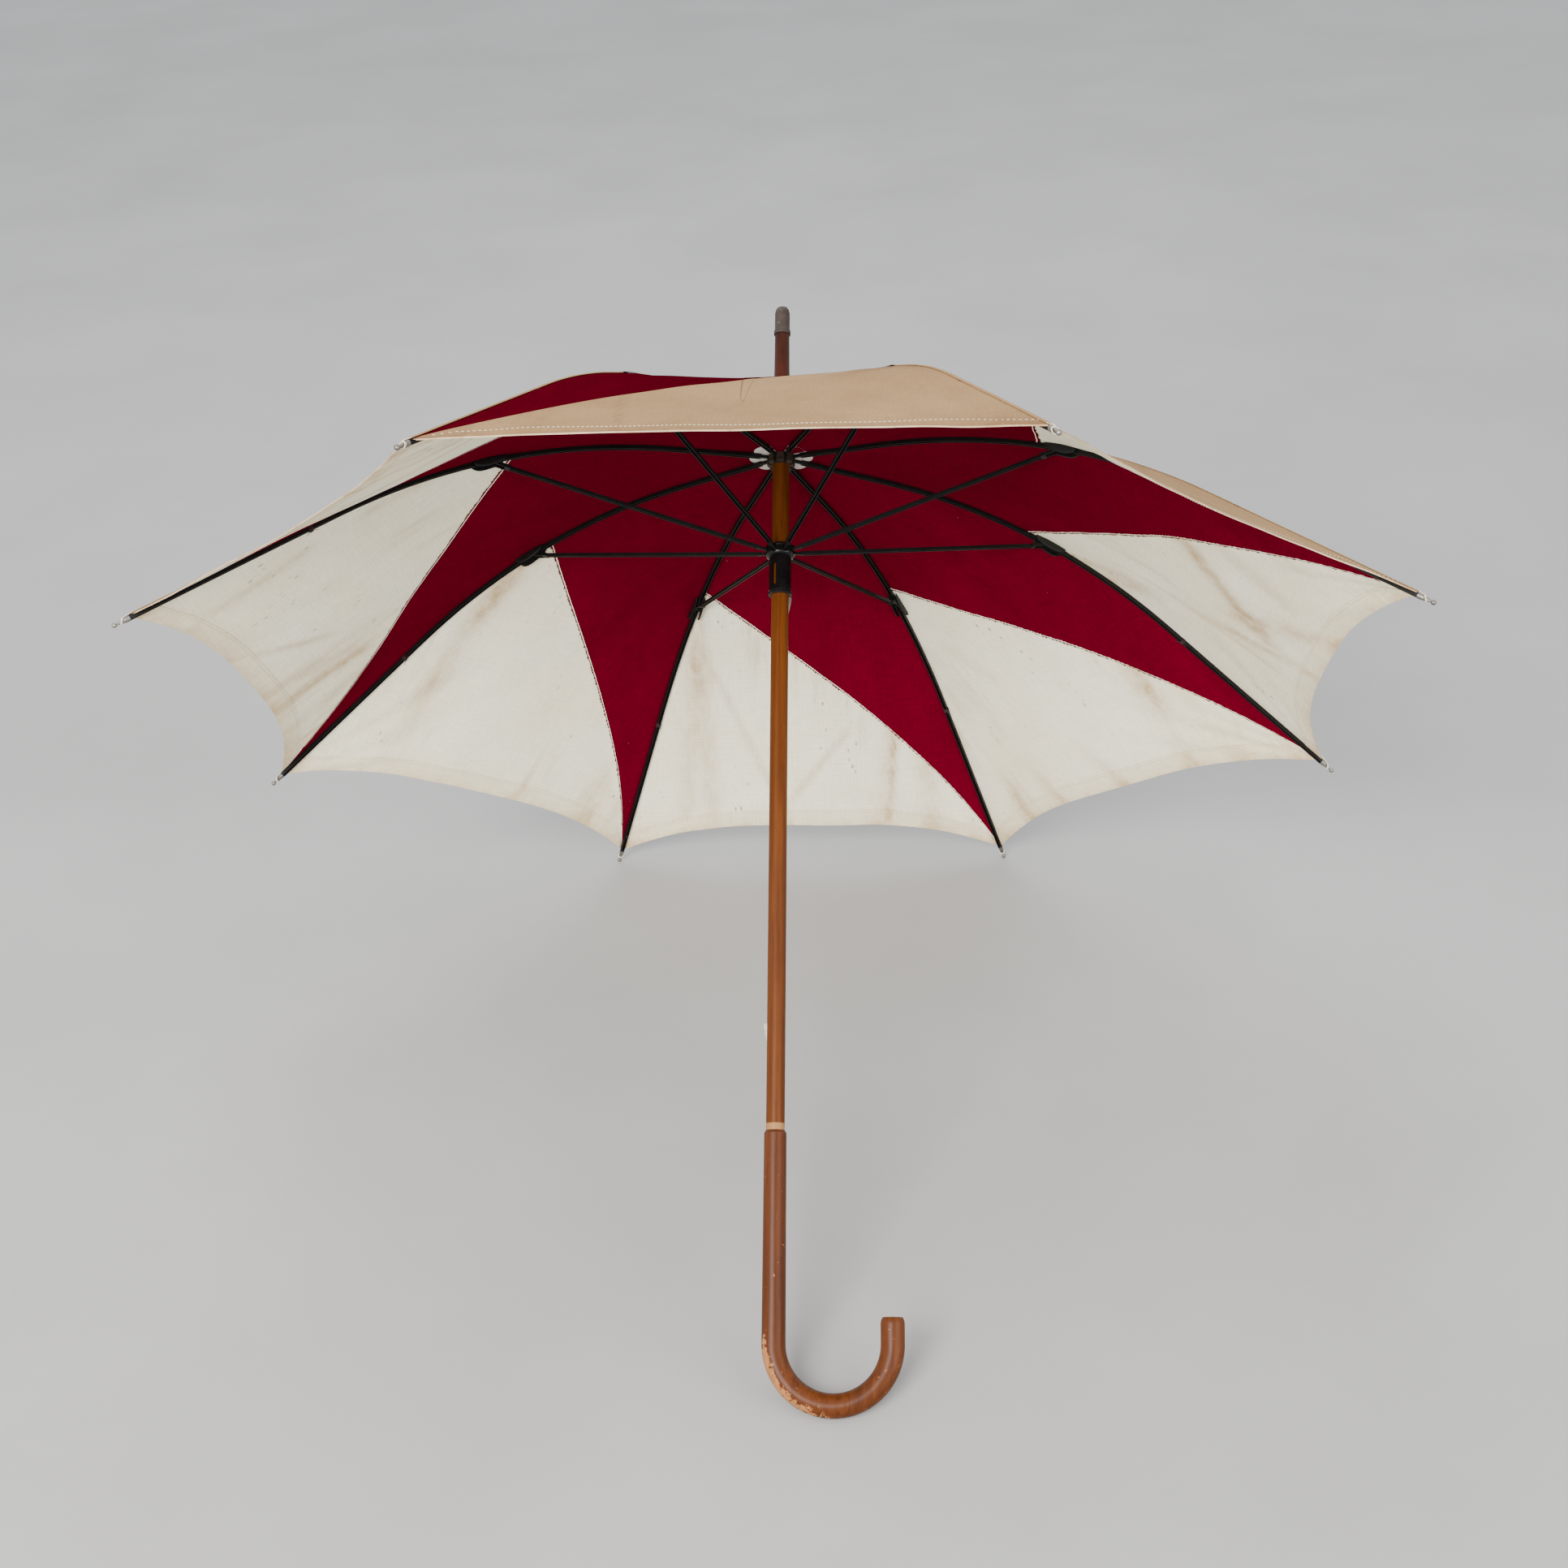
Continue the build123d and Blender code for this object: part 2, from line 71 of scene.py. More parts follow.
# ---- sizes, in metres and radians; s is a share of the tip radius, u a share of a panel's width ----
TIP_R = 0.493  # from the shaft's axis to the end of a rib
TIP_DEPTH = 0.206  # of a rib's end below the crown's pivots
ROOT_SLOPE = math.radians(4.5)
TIP_SLOPE = math.radians(36.0)
BEND_R = 0.510
JOINT_R = 0.240  # where a stretcher meets its rib
CROOK_DEPTH = 0.701
CROOK_R = 0.043
CLOTH_LIFT = 0.0021  # of the cloth above a rib's centre line
CLOTH_THICK = 0.00035
JOINT_BUMP = 0.0013  # how far a rib's joint lifts the cloth
JOINT_BUMP_LENGTH = 0.015
JOINT_BUMP_WIDTH = 0.016
SAG = 0.006
LONG_CREASE = 0.0011
BROAD_CREASE = 0.0022
CORNER_CREASE = 0.0034
CORNER_CREASE_REACH = 0.13
HOLE = 0.0105  # radius of the hole that the spike goes through
INSIDE_ROSETTE = 0.026
OUTSIDE_ROSETTE = 0.0185
ROSETTE_LIFT = 0.0021
ROSETTE_ROOM = 0.0009  # extra lift of the cloth over the inside rosette
ROSETTE_ROOM_END = 0.05
SEAM_START = 0.445  # s at which the red and cream seam leaves its rib
SEAM_BOW = 0.0107
SEAM_BOW_SKEW = 1.9
SEAM_GAP = 0.00018
HEM_MID = 0.943  # s of the hem in the middle of a panel
HEM_BAND = 0.0150
HEM_THICK = 0.0005
LAP = 0.0095  # how far a near half reaches past the middle of its panel, at most
LAP_END = 0.78
COLUMNS = 40
RED_ROWS = 64
CREAM_ROWS = 56

# a rib's two straight lengths close on its tip
STRAIGHT_OUT = TIP_R - PIVOT_R - BEND_R * (math.sin(TIP_SLOPE) - math.sin(ROOT_SLOPE))
STRAIGHT_DOWN = TIP_DEPTH - BEND_R * (math.cos(ROOT_SLOPE) - math.cos(TIP_SLOPE))
ROOT_LENGTH = (
    STRAIGHT_OUT * math.sin(TIP_SLOPE) - STRAIGHT_DOWN * math.cos(TIP_SLOPE)
) / math.sin(TIP_SLOPE - ROOT_SLOPE)
BEND_START = PIVOT_R + ROOT_LENGTH * math.cos(ROOT_SLOPE)
BEND_DEPTH = ROOT_LENGTH * math.sin(ROOT_SLOPE)
BEND_END = BEND_START + BEND_R * (math.sin(TIP_SLOPE) - math.sin(ROOT_SLOPE))


def rib_depth(r):
    """Depth of a rib's centre line below the crown's pivots, at distance r from the shaft's axis."""
    r = np.asarray(r, float)
    inner = (r - PIVOT_R) * math.tan(ROOT_SLOPE)
    sine = np.clip((r - BEND_START) / BEND_R + math.sin(ROOT_SLOPE), 0, math.sin(TIP_SLOPE))
    bend = BEND_DEPTH + BEND_R * (math.cos(ROOT_SLOPE) - np.sqrt(1 - sine**2))
    outer = (
        BEND_DEPTH
        + BEND_R * (math.cos(ROOT_SLOPE) - math.cos(TIP_SLOPE))
        + (r - BEND_END) * math.tan(TIP_SLOPE)
    )
    return np.where(r < BEND_START, inner, np.where(r < BEND_END, bend, outer))


def rib_slope(r):
    sine = (np.asarray(r, float) - BEND_START) / BEND_R + math.sin(ROOT_SLOPE)
    return np.arcsin(np.clip(sine, math.sin(ROOT_SLOPE), math.sin(TIP_SLOPE)))


def place(r_out, t_across, depth, i, half=0.0):
    """Row-frame points from distance along rib i (turned half towards the next rib), across, and depth."""
    out = OUT[i - 1] * math.cos(half) - TURN[i - 1] * math.sin(half)
    across = np.cross(out, UP)
    r_out, t_across, depth = (np.asarray(a, float)[..., None] for a in (r_out, t_across, depth))
    return CROWN + out * r_out + across * t_across - UP * depth


# ---- mesh helpers ----
def new_mesh(name, points, faces, materials, slots=None, smooth=True):
    mesh = bpy.data.meshes.new(name)
    corners = [tuple(int(k) for k in face) for face in faces]
    mesh.from_pydata([tuple(p) for p in np.asarray(points, float)], [], corners)
    for m in materials:
        mesh.materials.append(m)
    if slots is not None:
        mesh.polygons.foreach_set("material_index", np.asarray(slots, np.int32))
    mesh.polygons.foreach_set("use_smooth", np.full(len(mesh.polygons), smooth))
    mesh.update()
    piece = bpy.data.objects.new(name, mesh)
    bpy.context.scene.collection.objects.link(piece)
    return piece


def grid_faces(rows, columns, flip=False):
    faces = []
    for a in range(rows - 1):
        for b in range(columns - 1):
            k = a * columns + b
            face = (k, k + 1, k + columns + 1, k + columns)
            faces.append(face[::-1] if flip else face)
    return faces


def grid_edge(rows, columns):
    """The numbers of a grid's outer points, in order round it."""
    ring = list(range(columns))
    ring += [k * columns + columns - 1 for k in range(1, rows)]
    ring += [(rows - 1) * columns + k for k in range(columns - 2, -1, -1)]
    return ring + [k * columns for k in range(rows - 2, 0, -1)]


class Parts:
    """Collects points, faces, material slots, map coordinates and blend weights for one mesh."""

    def __init__(self):
        self.points = []
        self.faces = []
        self.slots = []
        self.maps = []
        self.ages = []
        self.weights = []

    def add(self, points, faces, slot=0, maps=None, weights=None, ages=None):
        start = len(self.points)
        self.points += [tuple(p) for p in points]
        self.faces += [tuple(start + k for k in f) for f in faces]
        self.slots += [slot] * len(faces)
        count = len(points)
        self.maps += [(0.0, 0.0)] * count if maps is None else [tuple(m) for m in maps]
        self.ages += [0.0] * count if ages is None else list(ages)
        self.weights += [0.0] * count if weights is None else list(weights)

    def build(self, name, materials, smooth=True):
        piece = new_mesh(name, self.points, self.faces, materials, self.slots, smooth)
        layer = piece.data.uv_layers.new(name="cloth")
        corner = np.zeros(len(piece.data.loops), np.int32)
        piece.data.loops.foreach_get("vertex_index", corner)
        layer.data.foreach_set("uv", np.array(self.maps, np.float32)[corner].ravel())
        layer = piece.data.uv_layers.new(name="age")
        age = np.stack([self.ages, np.zeros(len(self.ages))], axis=-1).astype(np.float32)
        layer.data.foreach_set("uv", age[corner].ravel())
        return piece


def tube(path, radius, sides):
    """Points and faces of a round tube along a list of points, with one radius or one for each point."""
    path = np.asarray(path, float)
    radius = np.broadcast_to(radius, len(path))
    tangent = np.gradient(path, axis=0)
    tangent /= np.linalg.norm(tangent, axis=1)[:, None]
    side = np.cross(tangent[0], [0.31, 0.52, 0.79])
    points = []
    for p, t, r in zip(path, tangent, radius):
        side = side - t * (side @ t)
        side /= np.linalg.norm(side)
        other = np.cross(t, side)
        for k in range(sides):
            a = 2 * math.pi * k / sides
            points.append(p + r * (side * math.cos(a) + other * math.sin(a)))
    faces = []
    for a in range(len(path) - 1):
        for k in range(sides):
            b = (k + 1) % sides
            faces.append((a * sides + k, a * sides + b, (a + 1) * sides + b, (a + 1) * sides + k))
    faces.append(tuple(range(sides))[::-1])
    faces.append(tuple((len(path) - 1) * sides + k for k in range(sides)))
    return points, faces


# ---- materials ----
class Nodes:
    """A short way to wire a node material."""

    def __init__(self, name):
        self.material = bpy.data.materials.new(name)
        self.material.use_nodes = True
        self.tree = self.material.node_tree
        self.shader = self.tree.nodes["Principled BSDF"]

    def node(self, kind, inputs=None, **settings):
        made = self.tree.nodes.new(kind)
        for key, value in settings.items():
            setattr(made, key, value)
        for key, value in (inputs or {}).items():
            self.put(made.inputs[key], value)
        return made

    def put(self, socket, value):
        if isinstance(value, bpy.types.NodeSocket):
            self.tree.links.new(value, socket)
        else:
            socket.default_value = value

    def set(self, **values):
        for key, value in values.items():
            self.put(self.shader.inputs[key.replace("_", " ")], value)

    def place(self, scale=(1, 1, 1), shaft=False, cloth=False):
        """Texture coordinates: the cloth's own map or the row frame; shaft turns z up the shaft."""
        if cloth:
            source = self.node("ShaderNodeUVMap", uv_map="cloth").outputs[0]
        else:
            source = self.node("ShaderNodeTexCoord").outputs["Object"]
        if shaft:
            upright = (math.pi / 2 - LEAN, 0, 0)
            source = self.node("ShaderNodeMapping", {"Vector": source, "Rotation": upright}).outputs[0]
        return self.node("ShaderNodeMapping", {"Vector": source, "Scale": scale}).outputs[0]

    def depth(self, start, end):
        """0 above the start depth along the shaft and 1 below the end depth."""
        z = self.node("ShaderNodeSeparateXYZ", {0: self.place(shaft=True)}).outputs[2]
        top = float(CROWN @ UP)
        return self.node(
            "ShaderNodeMapRange", {"Value": z, "From Min": top - start, "From Max": top - end}
        ).outputs[0]

    def noise(self, vector, scale=5.0, detail=4.0, rough=0.55, distort=0.0):
        return self.node(
            "ShaderNodeTexNoise",
            {"Vector": vector, "Scale": scale, "Detail": detail, "Roughness": rough, "Distortion": distort},
        ).outputs["Fac"]

    def ramp(self, factor, stops):
        made = self.node("ShaderNodeValToRGB", {"Fac": factor})
        elements = made.color_ramp.elements
        while len(elements) < len(stops):
            elements.new(0.5)
        for element, (at, colour) in zip(elements, stops):
            element.position = at
            element.color = (*colour, 1) if not isinstance(colour, (int, float)) else (colour,) * 3 + (1,)
        return made.outputs[0]

    def mix(self, factor, a, b, blend="MIX"):
        made = self.node("ShaderNodeMix", data_type="RGBA", blend_type=blend)
        self.put(made.inputs[0], factor)
        self.put(made.inputs[6], a if isinstance(a, bpy.types.NodeSocket) else (*a, 1))
        self.put(made.inputs[7], b if isinstance(b, bpy.types.NodeSocket) else (*b, 1))
        return made.outputs[2]

    def math(self, kind, a, b=0.0):
        return self.node("ShaderNodeMath", {0: a, 1: b}, operation=kind).outputs[0]

    def cells(self, vector, scale=1.0, feature="F1"):
        inputs = {"Vector": vector, "Scale": scale}
        return self.node("ShaderNodeTexVoronoi", inputs, feature=feature).outputs[0]

    def between(self, value, low, high, start=0.0, end=1.0):
        """The value's place between start and end, carried to between low and high."""
        inputs = {"Value": value, "From Min": start, "From Max": end, "To Min": low, "To Max": high}
        return self.node("ShaderNodeMapRange", inputs).outputs[0]

    def normal(self, height, strength, distance):
        self.put(self.shader.inputs["Normal"], self.bump(height, strength, distance))

    def bump(self, height, strength=0.3, distance=0.0005):
        return self.node(
            "ShaderNodeBump", {"Height": height, "Strength": strength, "Distance": distance}
        ).outputs[0]


def cream_cloth(name, light, shade, stain, spots=True):
    """Aged cotton: a plain weave, water marks that run down the panel, and small brown specks."""
    n = Nodes(name)
    flat = n.place(cloth=True)
    soft = n.noise(flat, 9, 5, 0.6)
    colour = n.mix(n.ramp(soft, [(0.35, 0.0), (0.72, 1.0)]), light, shade)
    streak = n.noise(n.place((55, 5, 1), cloth=True), 1.0, 6, 0.6, 0.15)
    cloud = n.noise(n.place((10, 4, 1), cloth=True), 1.0, 3, 0.5)
    streak = n.ramp(streak, [(0.50, 0.0), (0.68, 1.0)])
    marks = n.math("MULTIPLY", streak, n.ramp(cloud, [(0.50, 0.0), (0.66, 1.0)]))
    colour = n.mix(n.math("MULTIPLY", marks, 0.55), colour, stain)
    age = n.node("ShaderNodeUVMap", uv_map="age").outputs[0]
    worn = n.node("ShaderNodeSeparateXYZ", {0: age}).outputs[0]
    mottle = n.ramp(n.noise(n.place((90, 60, 1), cloth=True), 1.0, 5, 0.6), [(0.30, 0.35), (0.62, 1.0)])
    colour = n.mix(n.math("MULTIPLY", n.math("MULTIPLY", worn, mottle), 0.85), colour, stain)
    ring = n.cells(n.place((9, 5, 1), cloth=True))
    tide = n.ramp(ring, [(0.30, 0.0), (0.335, 0.5), (0.36, 0.0)])
    colour = n.mix(n.math("MULTIPLY", tide, n.math("MULTIPLY", marks, 0.5)), colour, stain)
    if spots:
        cells = n.cells(n.place((160, 75, 1), cloth=True))
        where = n.ramp(n.noise(n.place((30, 7, 1), cloth=True), 1.0, 2), [(0.58, 0.0), (0.66, 1.0)])
        speck = n.math("MULTIPLY", n.ramp(cells, [(0.10, 1.0), (0.24, 0.0)]), where)
        colour = n.mix(n.math("MULTIPLY", speck, 0.7), colour, (0.22, 0.11, 0.055))
    n.set(Base_Color=weave_tint(n, colour, 0.10), Roughness=0.88, Specular_IOR_Level=0.12)
    n.normal(weave_height(n), 0.30, 0.0002)
    return n.material


def weave_height(n):
    waves = {"Vector": n.place(cloth=True), "Scale": 560.0, "Distortion": 0.6, "Detail": 1.0}
    warp = n.node("ShaderNodeTexWave", waves, bands_direction="X").outputs["Fac"]
    weft = n.node("ShaderNodeTexWave", waves, bands_direction="Y").outputs["Fac"]
    slub = n.noise(n.place((900, 60, 1), cloth=True), 1.0, 3)
    return n.math("ADD", n.math("MAXIMUM", warp, weft), n.math("MULTIPLY", slub, 0.8))


def weave_tint(n, colour, amount):
    warp = n.noise(n.place((700, 45, 1), cloth=True), 1.0, 4, 0.7)
    weft = n.noise(n.place((45, 700, 1), cloth=True), 1.0, 4, 0.7)
    both = n.math("MULTIPLY", n.math("ADD", warp, weft), 0.5)
    grey = n.ramp(both, [(0.36, 1 - 2.2 * amount), (0.64, 1.0)])
    return n.mix(1.0, colour, grey, "MULTIPLY")


def red_cloth(name, bright, deep):
    """Dyed cotton, a little faded along the folds, with lint."""
    n = Nodes(name)
    fade = n.noise(n.place((12, 3.0, 1), cloth=True), 1.0, 5, 0.6, 0.4)
    colour = n.mix(n.ramp(fade, [(0.35, 0.0), (0.7, 1.0)]), bright, deep)
    rub = n.ramp(n.noise(n.place((60, 8, 1), cloth=True), 1.0, 6, 0.7), [(0.62, 0.0), (0.80, 1.0)])
    colour = n.mix(n.math("MULTIPLY", rub, 0.22), colour, (0.20, 0.006, 0.028))
    lint = n.cells(n.place((230, 90, 1), cloth=True))
    some = n.ramp(n.noise(n.place((25, 25, 1), cloth=True), 1.0, 2), [(0.66, 0.0), (0.72, 1.0)])
    fluff = n.math("MULTIPLY", n.ramp(lint, [(0.05, 1.0), (0.12, 0.0)]), some)
    colour = n.mix(n.math("MULTIPLY", fluff, 0.5), colour, (0.45, 0.25, 0.24))
    n.set(Base_Color=weave_tint(n, colour, 0.16), Roughness=0.9, Specular_IOR_Level=0.0)
    n.normal(weave_height(n), 0.35, 0.0002)
    return n.material


def wood(name, light, dark, worn, wear, gloss, rings=1.0):
    """Varnished straight-grained wood along the shaft, rubbed through in patches."""
    n = Nodes(name)
    along = n.place((1, 1, 0.045), shaft=True)
    fine = n.noise(along, 900, 6, 0.7)
    broad = n.noise(along, 170, 4, 0.55, 0.8)
    long_way = n.noise(n.place((1, 1, 0.25), shaft=True), 28 * rings, 3)
    colour = n.mix(n.ramp(broad, [(0.34, 0.0), (0.68, 1.0)]), light, dark)
    pores = n.math("MULTIPLY", n.ramp(fine, [(0.52, 0.0), (0.70, 1.0)]), 0.55)
    colour = n.mix(pores, colour, tuple(0.45 * c for c in dark))
    bands = n.math("MULTIPLY", n.ramp(long_way, [(0.45, 0.0), (0.75, 1.0)]), 0.45)
    colour = n.mix(bands, colour, tuple(0.6 * c for c in dark))
    scuff = n.noise(n.place((1, 1, 0.4), shaft=True), 260, 7, 0.75)
    scuff = n.ramp(scuff, [(wear, 0.0), (wear + 0.05, 1.0)])
    colour = n.mix(n.math("MULTIPLY", scuff, 0.75), colour, worn)
    n.set(Base_Color=colour, Coat_Weight=gloss, Coat_Roughness=0.3, Specular_IOR_Level=0.08)
    n.set(Roughness=n.between(scuff, 0.36, 0.62))
    n.normal(n.math("SUBTRACT", fine, scuff), 0.25, 0.0002)
    return n


def metal(name, colour, second, rough, metallic=1.0, wear=0.62, edge=(0.35, 0.33, 0.3), scale=300):
    """Painted or plated metal with rubbed patches and fine scratches."""
    n = Nodes(name)
    at = n.place()
    patch = n.noise(at, scale * 0.25, 5, 0.65)
    base = n.mix(n.ramp(patch, [(0.38, 0.0), (0.66, 1.0)]), colour, second)
    chips = n.ramp(n.noise(at, scale, 6, 0.75), [(wear, 0.0), (wear + 0.04, 1.0)])
    base = n.mix(n.math("MULTIPLY", chips, 0.8), base, edge)
    n.set(Base_Color=base, Metallic=metallic, Specular_IOR_Level=0.2)
    streak = n.noise(n.place((1, 1, 0.06), shaft=True), 1200, 4, 0.7)
    n.set(Roughness=n.between(streak, rough, rough + 0.22))
    n.normal(n.math("SUBTRACT", streak, n.math("MULTIPLY", chips, 1.5)), 0.15, 0.0001)
    return n.material


def leather(name):
    n = Nodes(name)
    at = n.place()
    grain = n.cells(at, 1400.0, "DISTANCE_TO_EDGE")
    scuff = n.ramp(n.noise(at, 420, 6, 0.7), [(0.55, 0.0), (0.68, 1.0)])
    n.set(Base_Color=n.mix(scuff, (0.005, 0.0048, 0.0045), (0.016, 0.014, 0.012)), Specular_IOR_Level=0.25)
    n.set(Roughness=n.between(scuff, 0.5, 0.75))
    n.normal(grain, 0.4, 0.0002)
    return n.material


def thread(name, colour, dark):
    n = Nodes(name)
    waves = {"Vector": n.place(), "Scale": 900.0, "Distortion": 2.0}
    ply = n.node("ShaderNodeTexWave", waves, bands_direction="DIAGONAL").outputs["Fac"]
    n.set(Base_Color=n.mix(ply, colour, dark), Roughness=0.8)
    n.normal(ply, 0.4, 0.0001)
    return n.material


CREAM_IN = cream_cloth("cream_inside", (0.93, 0.875, 0.69), (0.89, 0.80, 0.56), (0.46, 0.28, 0.11))
CREAM_OUT = cream_cloth("cream_outside", (0.300, 0.182, 0.080), (0.25, 0.145, 0.060), (0.155, 0.075, 0.030))
HEM_CLOTH = cream_cloth(
    "cream_hem", (0.90, 0.83, 0.62), (0.84, 0.735, 0.50), (0.50, 0.32, 0.14), spots=False
)
HEM_EDGE = cream_cloth(
    "cream_hem_edge", (0.66, 0.53, 0.36), (0.57, 0.43, 0.27), (0.34, 0.20, 0.095), spots=False
)
RED_IN = red_cloth("red_inside", (0.136, 0.0, 0.0115), (0.108, 0.0, 0.0090))
RED_OUT = red_cloth("red_outside", (0.068, 0.001, 0.0055), (0.052, 0.0005, 0.0040))
RED_EDGE = red_cloth("red_raw_edge", (0.125, 0.002, 0.010), (0.07, 0.0, 0.006))
PATCH = leather("patch_leather")
CREAM_THREAD = thread("cream_thread", (0.66, 0.60, 0.48), (0.40, 0.33, 0.23))
DARK_THREAD = thread("dark_thread", (0.03, 0.008, 0.010), (0.012, 0.004, 0.005))


# ---- the canopy's surface ----
def smooth(value, low, high):
    t = np.clip((np.asarray(value, float) - low) / (high - low), 0, 1)
    return t * t * (3 - 2 * t)


def perlin(a, b, c):
    a, b, c = np.broadcast_arrays(a, b, c)
    return np.array([noise.noise(Vector(p)) for p in zip(a.ravel(), b.ravel(), c.ravel())]).reshape(a.shape)


def seam_curve():
    """(u, s) along the red and cream seam, with u across from a rib to the next one."""
    t = np.linspace(0, 1, 200)
    start = vec([math.cos(HALF), -math.sin(HALF)]) * SEAM_START
    end = vec([math.cos(HALF), math.sin(HALF)])
    run = end - start
    side = vec([-run[1], run[0]]) / np.linalg.norm(run)
    at = start + t[:, None] * run + side * (SEAM_BOW / TIP_R * np.sin(math.pi * t**SEAM_BOW_SKEW))[:, None]
    s = at[:, 0] / math.cos(HALF)
    return (at[:, 1] / (s * math.sin(HALF)) + 1) / 2, s


SEAM_U, SEAM_S = seam_curve()


def seam_s(u):
    return np.interp(u, SEAM_U, SEAM_S)


def hem_s(u):
    return 1 - (1 - HEM_MID) * (1 - np.abs(2 * np.asarray(u, float) - 1) ** 3)


def folds(i, u, s):
    """Small creases: long ones down the panel, fans at its two corners, and a slow waviness."""
    r = s * TIP_R
    x, y = r * math.cos(HALF), r * math.sin(HALF) * (2 * u - 1)
    edge = np.clip(7 * np.minimum(u, 1 - u), 0, 1)
    long_way = perlin(u * 8, s * 1.7, i * 7.3) * LONG_CREASE * smooth(s, 0.2, 0.8)
    broad = perlin(x * 7, y * 7, i * 3.1) * BROAD_CREASE
    fans = 0
    for corner in (-1, 1):
        gap_x = TIP_R * math.cos(HALF) - x
        gap_y = y - corner * TIP_R * math.sin(HALF)
        away = np.hypot(gap_x, gap_y)
        ray = perlin(np.arctan2(gap_y, gap_x) * 7.5, away * 5, i * 5.7 + corner)
        fans = fans + ray * CORNER_CREASE * np.exp(-away / CORNER_CREASE_REACH) * smooth(away, 0.0, 0.05)
    return edge * (long_way + broad + fans)


def stain_amount(i, u, s):
    """How browned the cloth is: at its hem and corners, and along creases that run from the joints."""
    rng = np.random.default_rng(500 + i)
    r = s * TIP_R
    x, y = r * math.cos(HALF), r * math.sin(HALF) * (2 * u - 1)
    amount = 0.55 * np.exp(-(hem_s(u) - s) * TIP_R / 0.007)
    for corner in (-1, 1):
        away = np.hypot(TIP_R * math.cos(HALF) - x, y - corner * TIP_R * math.sin(HALF))
        amount = amount + 0.75 * np.exp(-((away / 0.026) ** 1.5))
    for _ in range(7):
        corner = rng.choice([-1, 1])
        start = vec([math.cos(HALF), corner * math.sin(HALF)]) * JOINT_R * rng.uniform(0.95, 1.25)
        end = vec([TIP_R * HEM_MID * 0.92, TIP_R * math.sin(HALF) * corner * rng.uniform(-0.35, 0.85)])
        run = end - start
        long_way = np.clip(((x - start[0]) * run[0] + (y - start[1]) * run[1]) / (run @ run), 0, 1.1)
        off = np.hypot(x - start[0] - long_way * run[0], y - start[1] - long_way * run[1])
        broken = smooth(perlin(long_way * 3, i * 1.9, corner * 3.3), -0.3, 0.25)
        strength = rng.uniform(0.3, 0.75)
        amount = amount + strength * broken * np.exp(-((off / rng.uniform(0.0025, 0.010)) ** 2))
    return np.clip(amount, 0, 1)


def canopy(i, u, s, offset=0.0):
    """Row-frame points of gore i at (u, s), offset outwards from the cloth's middle surface."""
    u, s = np.broadcast_arrays(np.asarray(u, float), np.asarray(s, float))
    r = s * TIP_R
    slope = rib_slope(r)
    lift = CLOTH_LIFT + ROSETTE_ROOM * (1 - smooth(r, INSIDE_ROSETTE, ROSETTE_ROOM_END))
    side_gap = np.minimum(u, 1 - u) * 2 * r * math.sin(HALF)
    near_joint = ((r - JOINT_R) / JOINT_BUMP_LENGTH) ** 2 + (side_gap / JOINT_BUMP_WIDTH) ** 2
    height = offset + JOINT_BUMP * np.exp(-near_joint) - SAG * np.sin(math.pi * u) * smooth(s, 0.08, 0.6)
    height = height + folds(i, u, s)
    out = r + lift * np.sin(slope)
    return place(
        out * math.cos(HALF) + height * np.sin(slope),
        out * math.sin(HALF) * (2 * u - 1),
        rib_depth(r) - (lift + height) * np.cos(slope),
        i,
        HALF,
    )


def cloth_map(i, u, s):
    """Flat map coordinates in metres: across, along."""
    r = np.asarray(s, float) * TIP_R
    along = r + 0.5 * rib_slope(r) * rib_depth(r)
    return np.stack([r * math.sin(HALF) * (2 * u - 1) + 1.37 * i, along + 0.61 * i], axis=-1)


# ---- how much of each half panel's fold a point takes ----
def turn(points, pos, axis, angle):
    angle = np.asarray(angle, float)[..., None]
    p = points - pos
    along = axis * (p @ axis)[..., None]
    return pos + p * np.cos(angle) + np.cross(axis, p) * np.sin(angle) + along * (1 - np.cos(angle))


STATIONS = np.linspace(0.06, 1.0, 260)


def lap(s):
    """How far a near half reaches past the panel's middle at s, as a share of the panel's width."""
    reach = LAP * np.sin(math.pi * np.clip(s / LAP_END, 0, 1)) ** 0.6
    return reach / (2 * s * TIP_R * math.sin(HALF))


def middle_weights(i, near, past=0.0):
    """Blend weights along the panel's middle line that bring it to the plane between its ribs when folded.

    With past = 1 they are for the edge of the near half's lap instead.
    """
    rib = i if near else i % RIBS + 1
    fall = JOINTS[f"cream_fall_{i}" if near else f"red_fall_{i}"]
    hinge = JOINTS[f"rib_fold_{rib}"]
    middle = OUT[i - 1] * math.cos(HALF) - TURN[i - 1] * math.sin(HALF)
    across = np.cross(middle, UP)
    points = canopy(i, 0.5 + past * lap(STATIONS), STATIONS)

    def miss(w):
        moved = turn(points, vec(fall["pos_m"]), vec(fall["axis"]), w * FALL)
        moved = turn(moved, vec(hinge["pos_m"]), vec(hinge["axis"]), np.full(len(w), FOLD))
        return (moved - CROWN) @ across

    low, high = np.zeros(len(STATIONS)), np.ones(len(STATIONS))
    first = np.sign(miss(low))
    for _ in range(26):
        middle_w = (low + high) / 2
        same = np.sign(miss(middle_w)) == first
        low, high = np.where(same, middle_w, low), np.where(same, high, middle_w)
    return (low + high) / 2


MIDDLE = {(i, near): middle_weights(i, near) for i in range(1, RIBS + 1) for near in (True, False)}
LAP_EDGE = {i: middle_weights(i, True, 1.0) for i in range(1, RIBS + 1)}


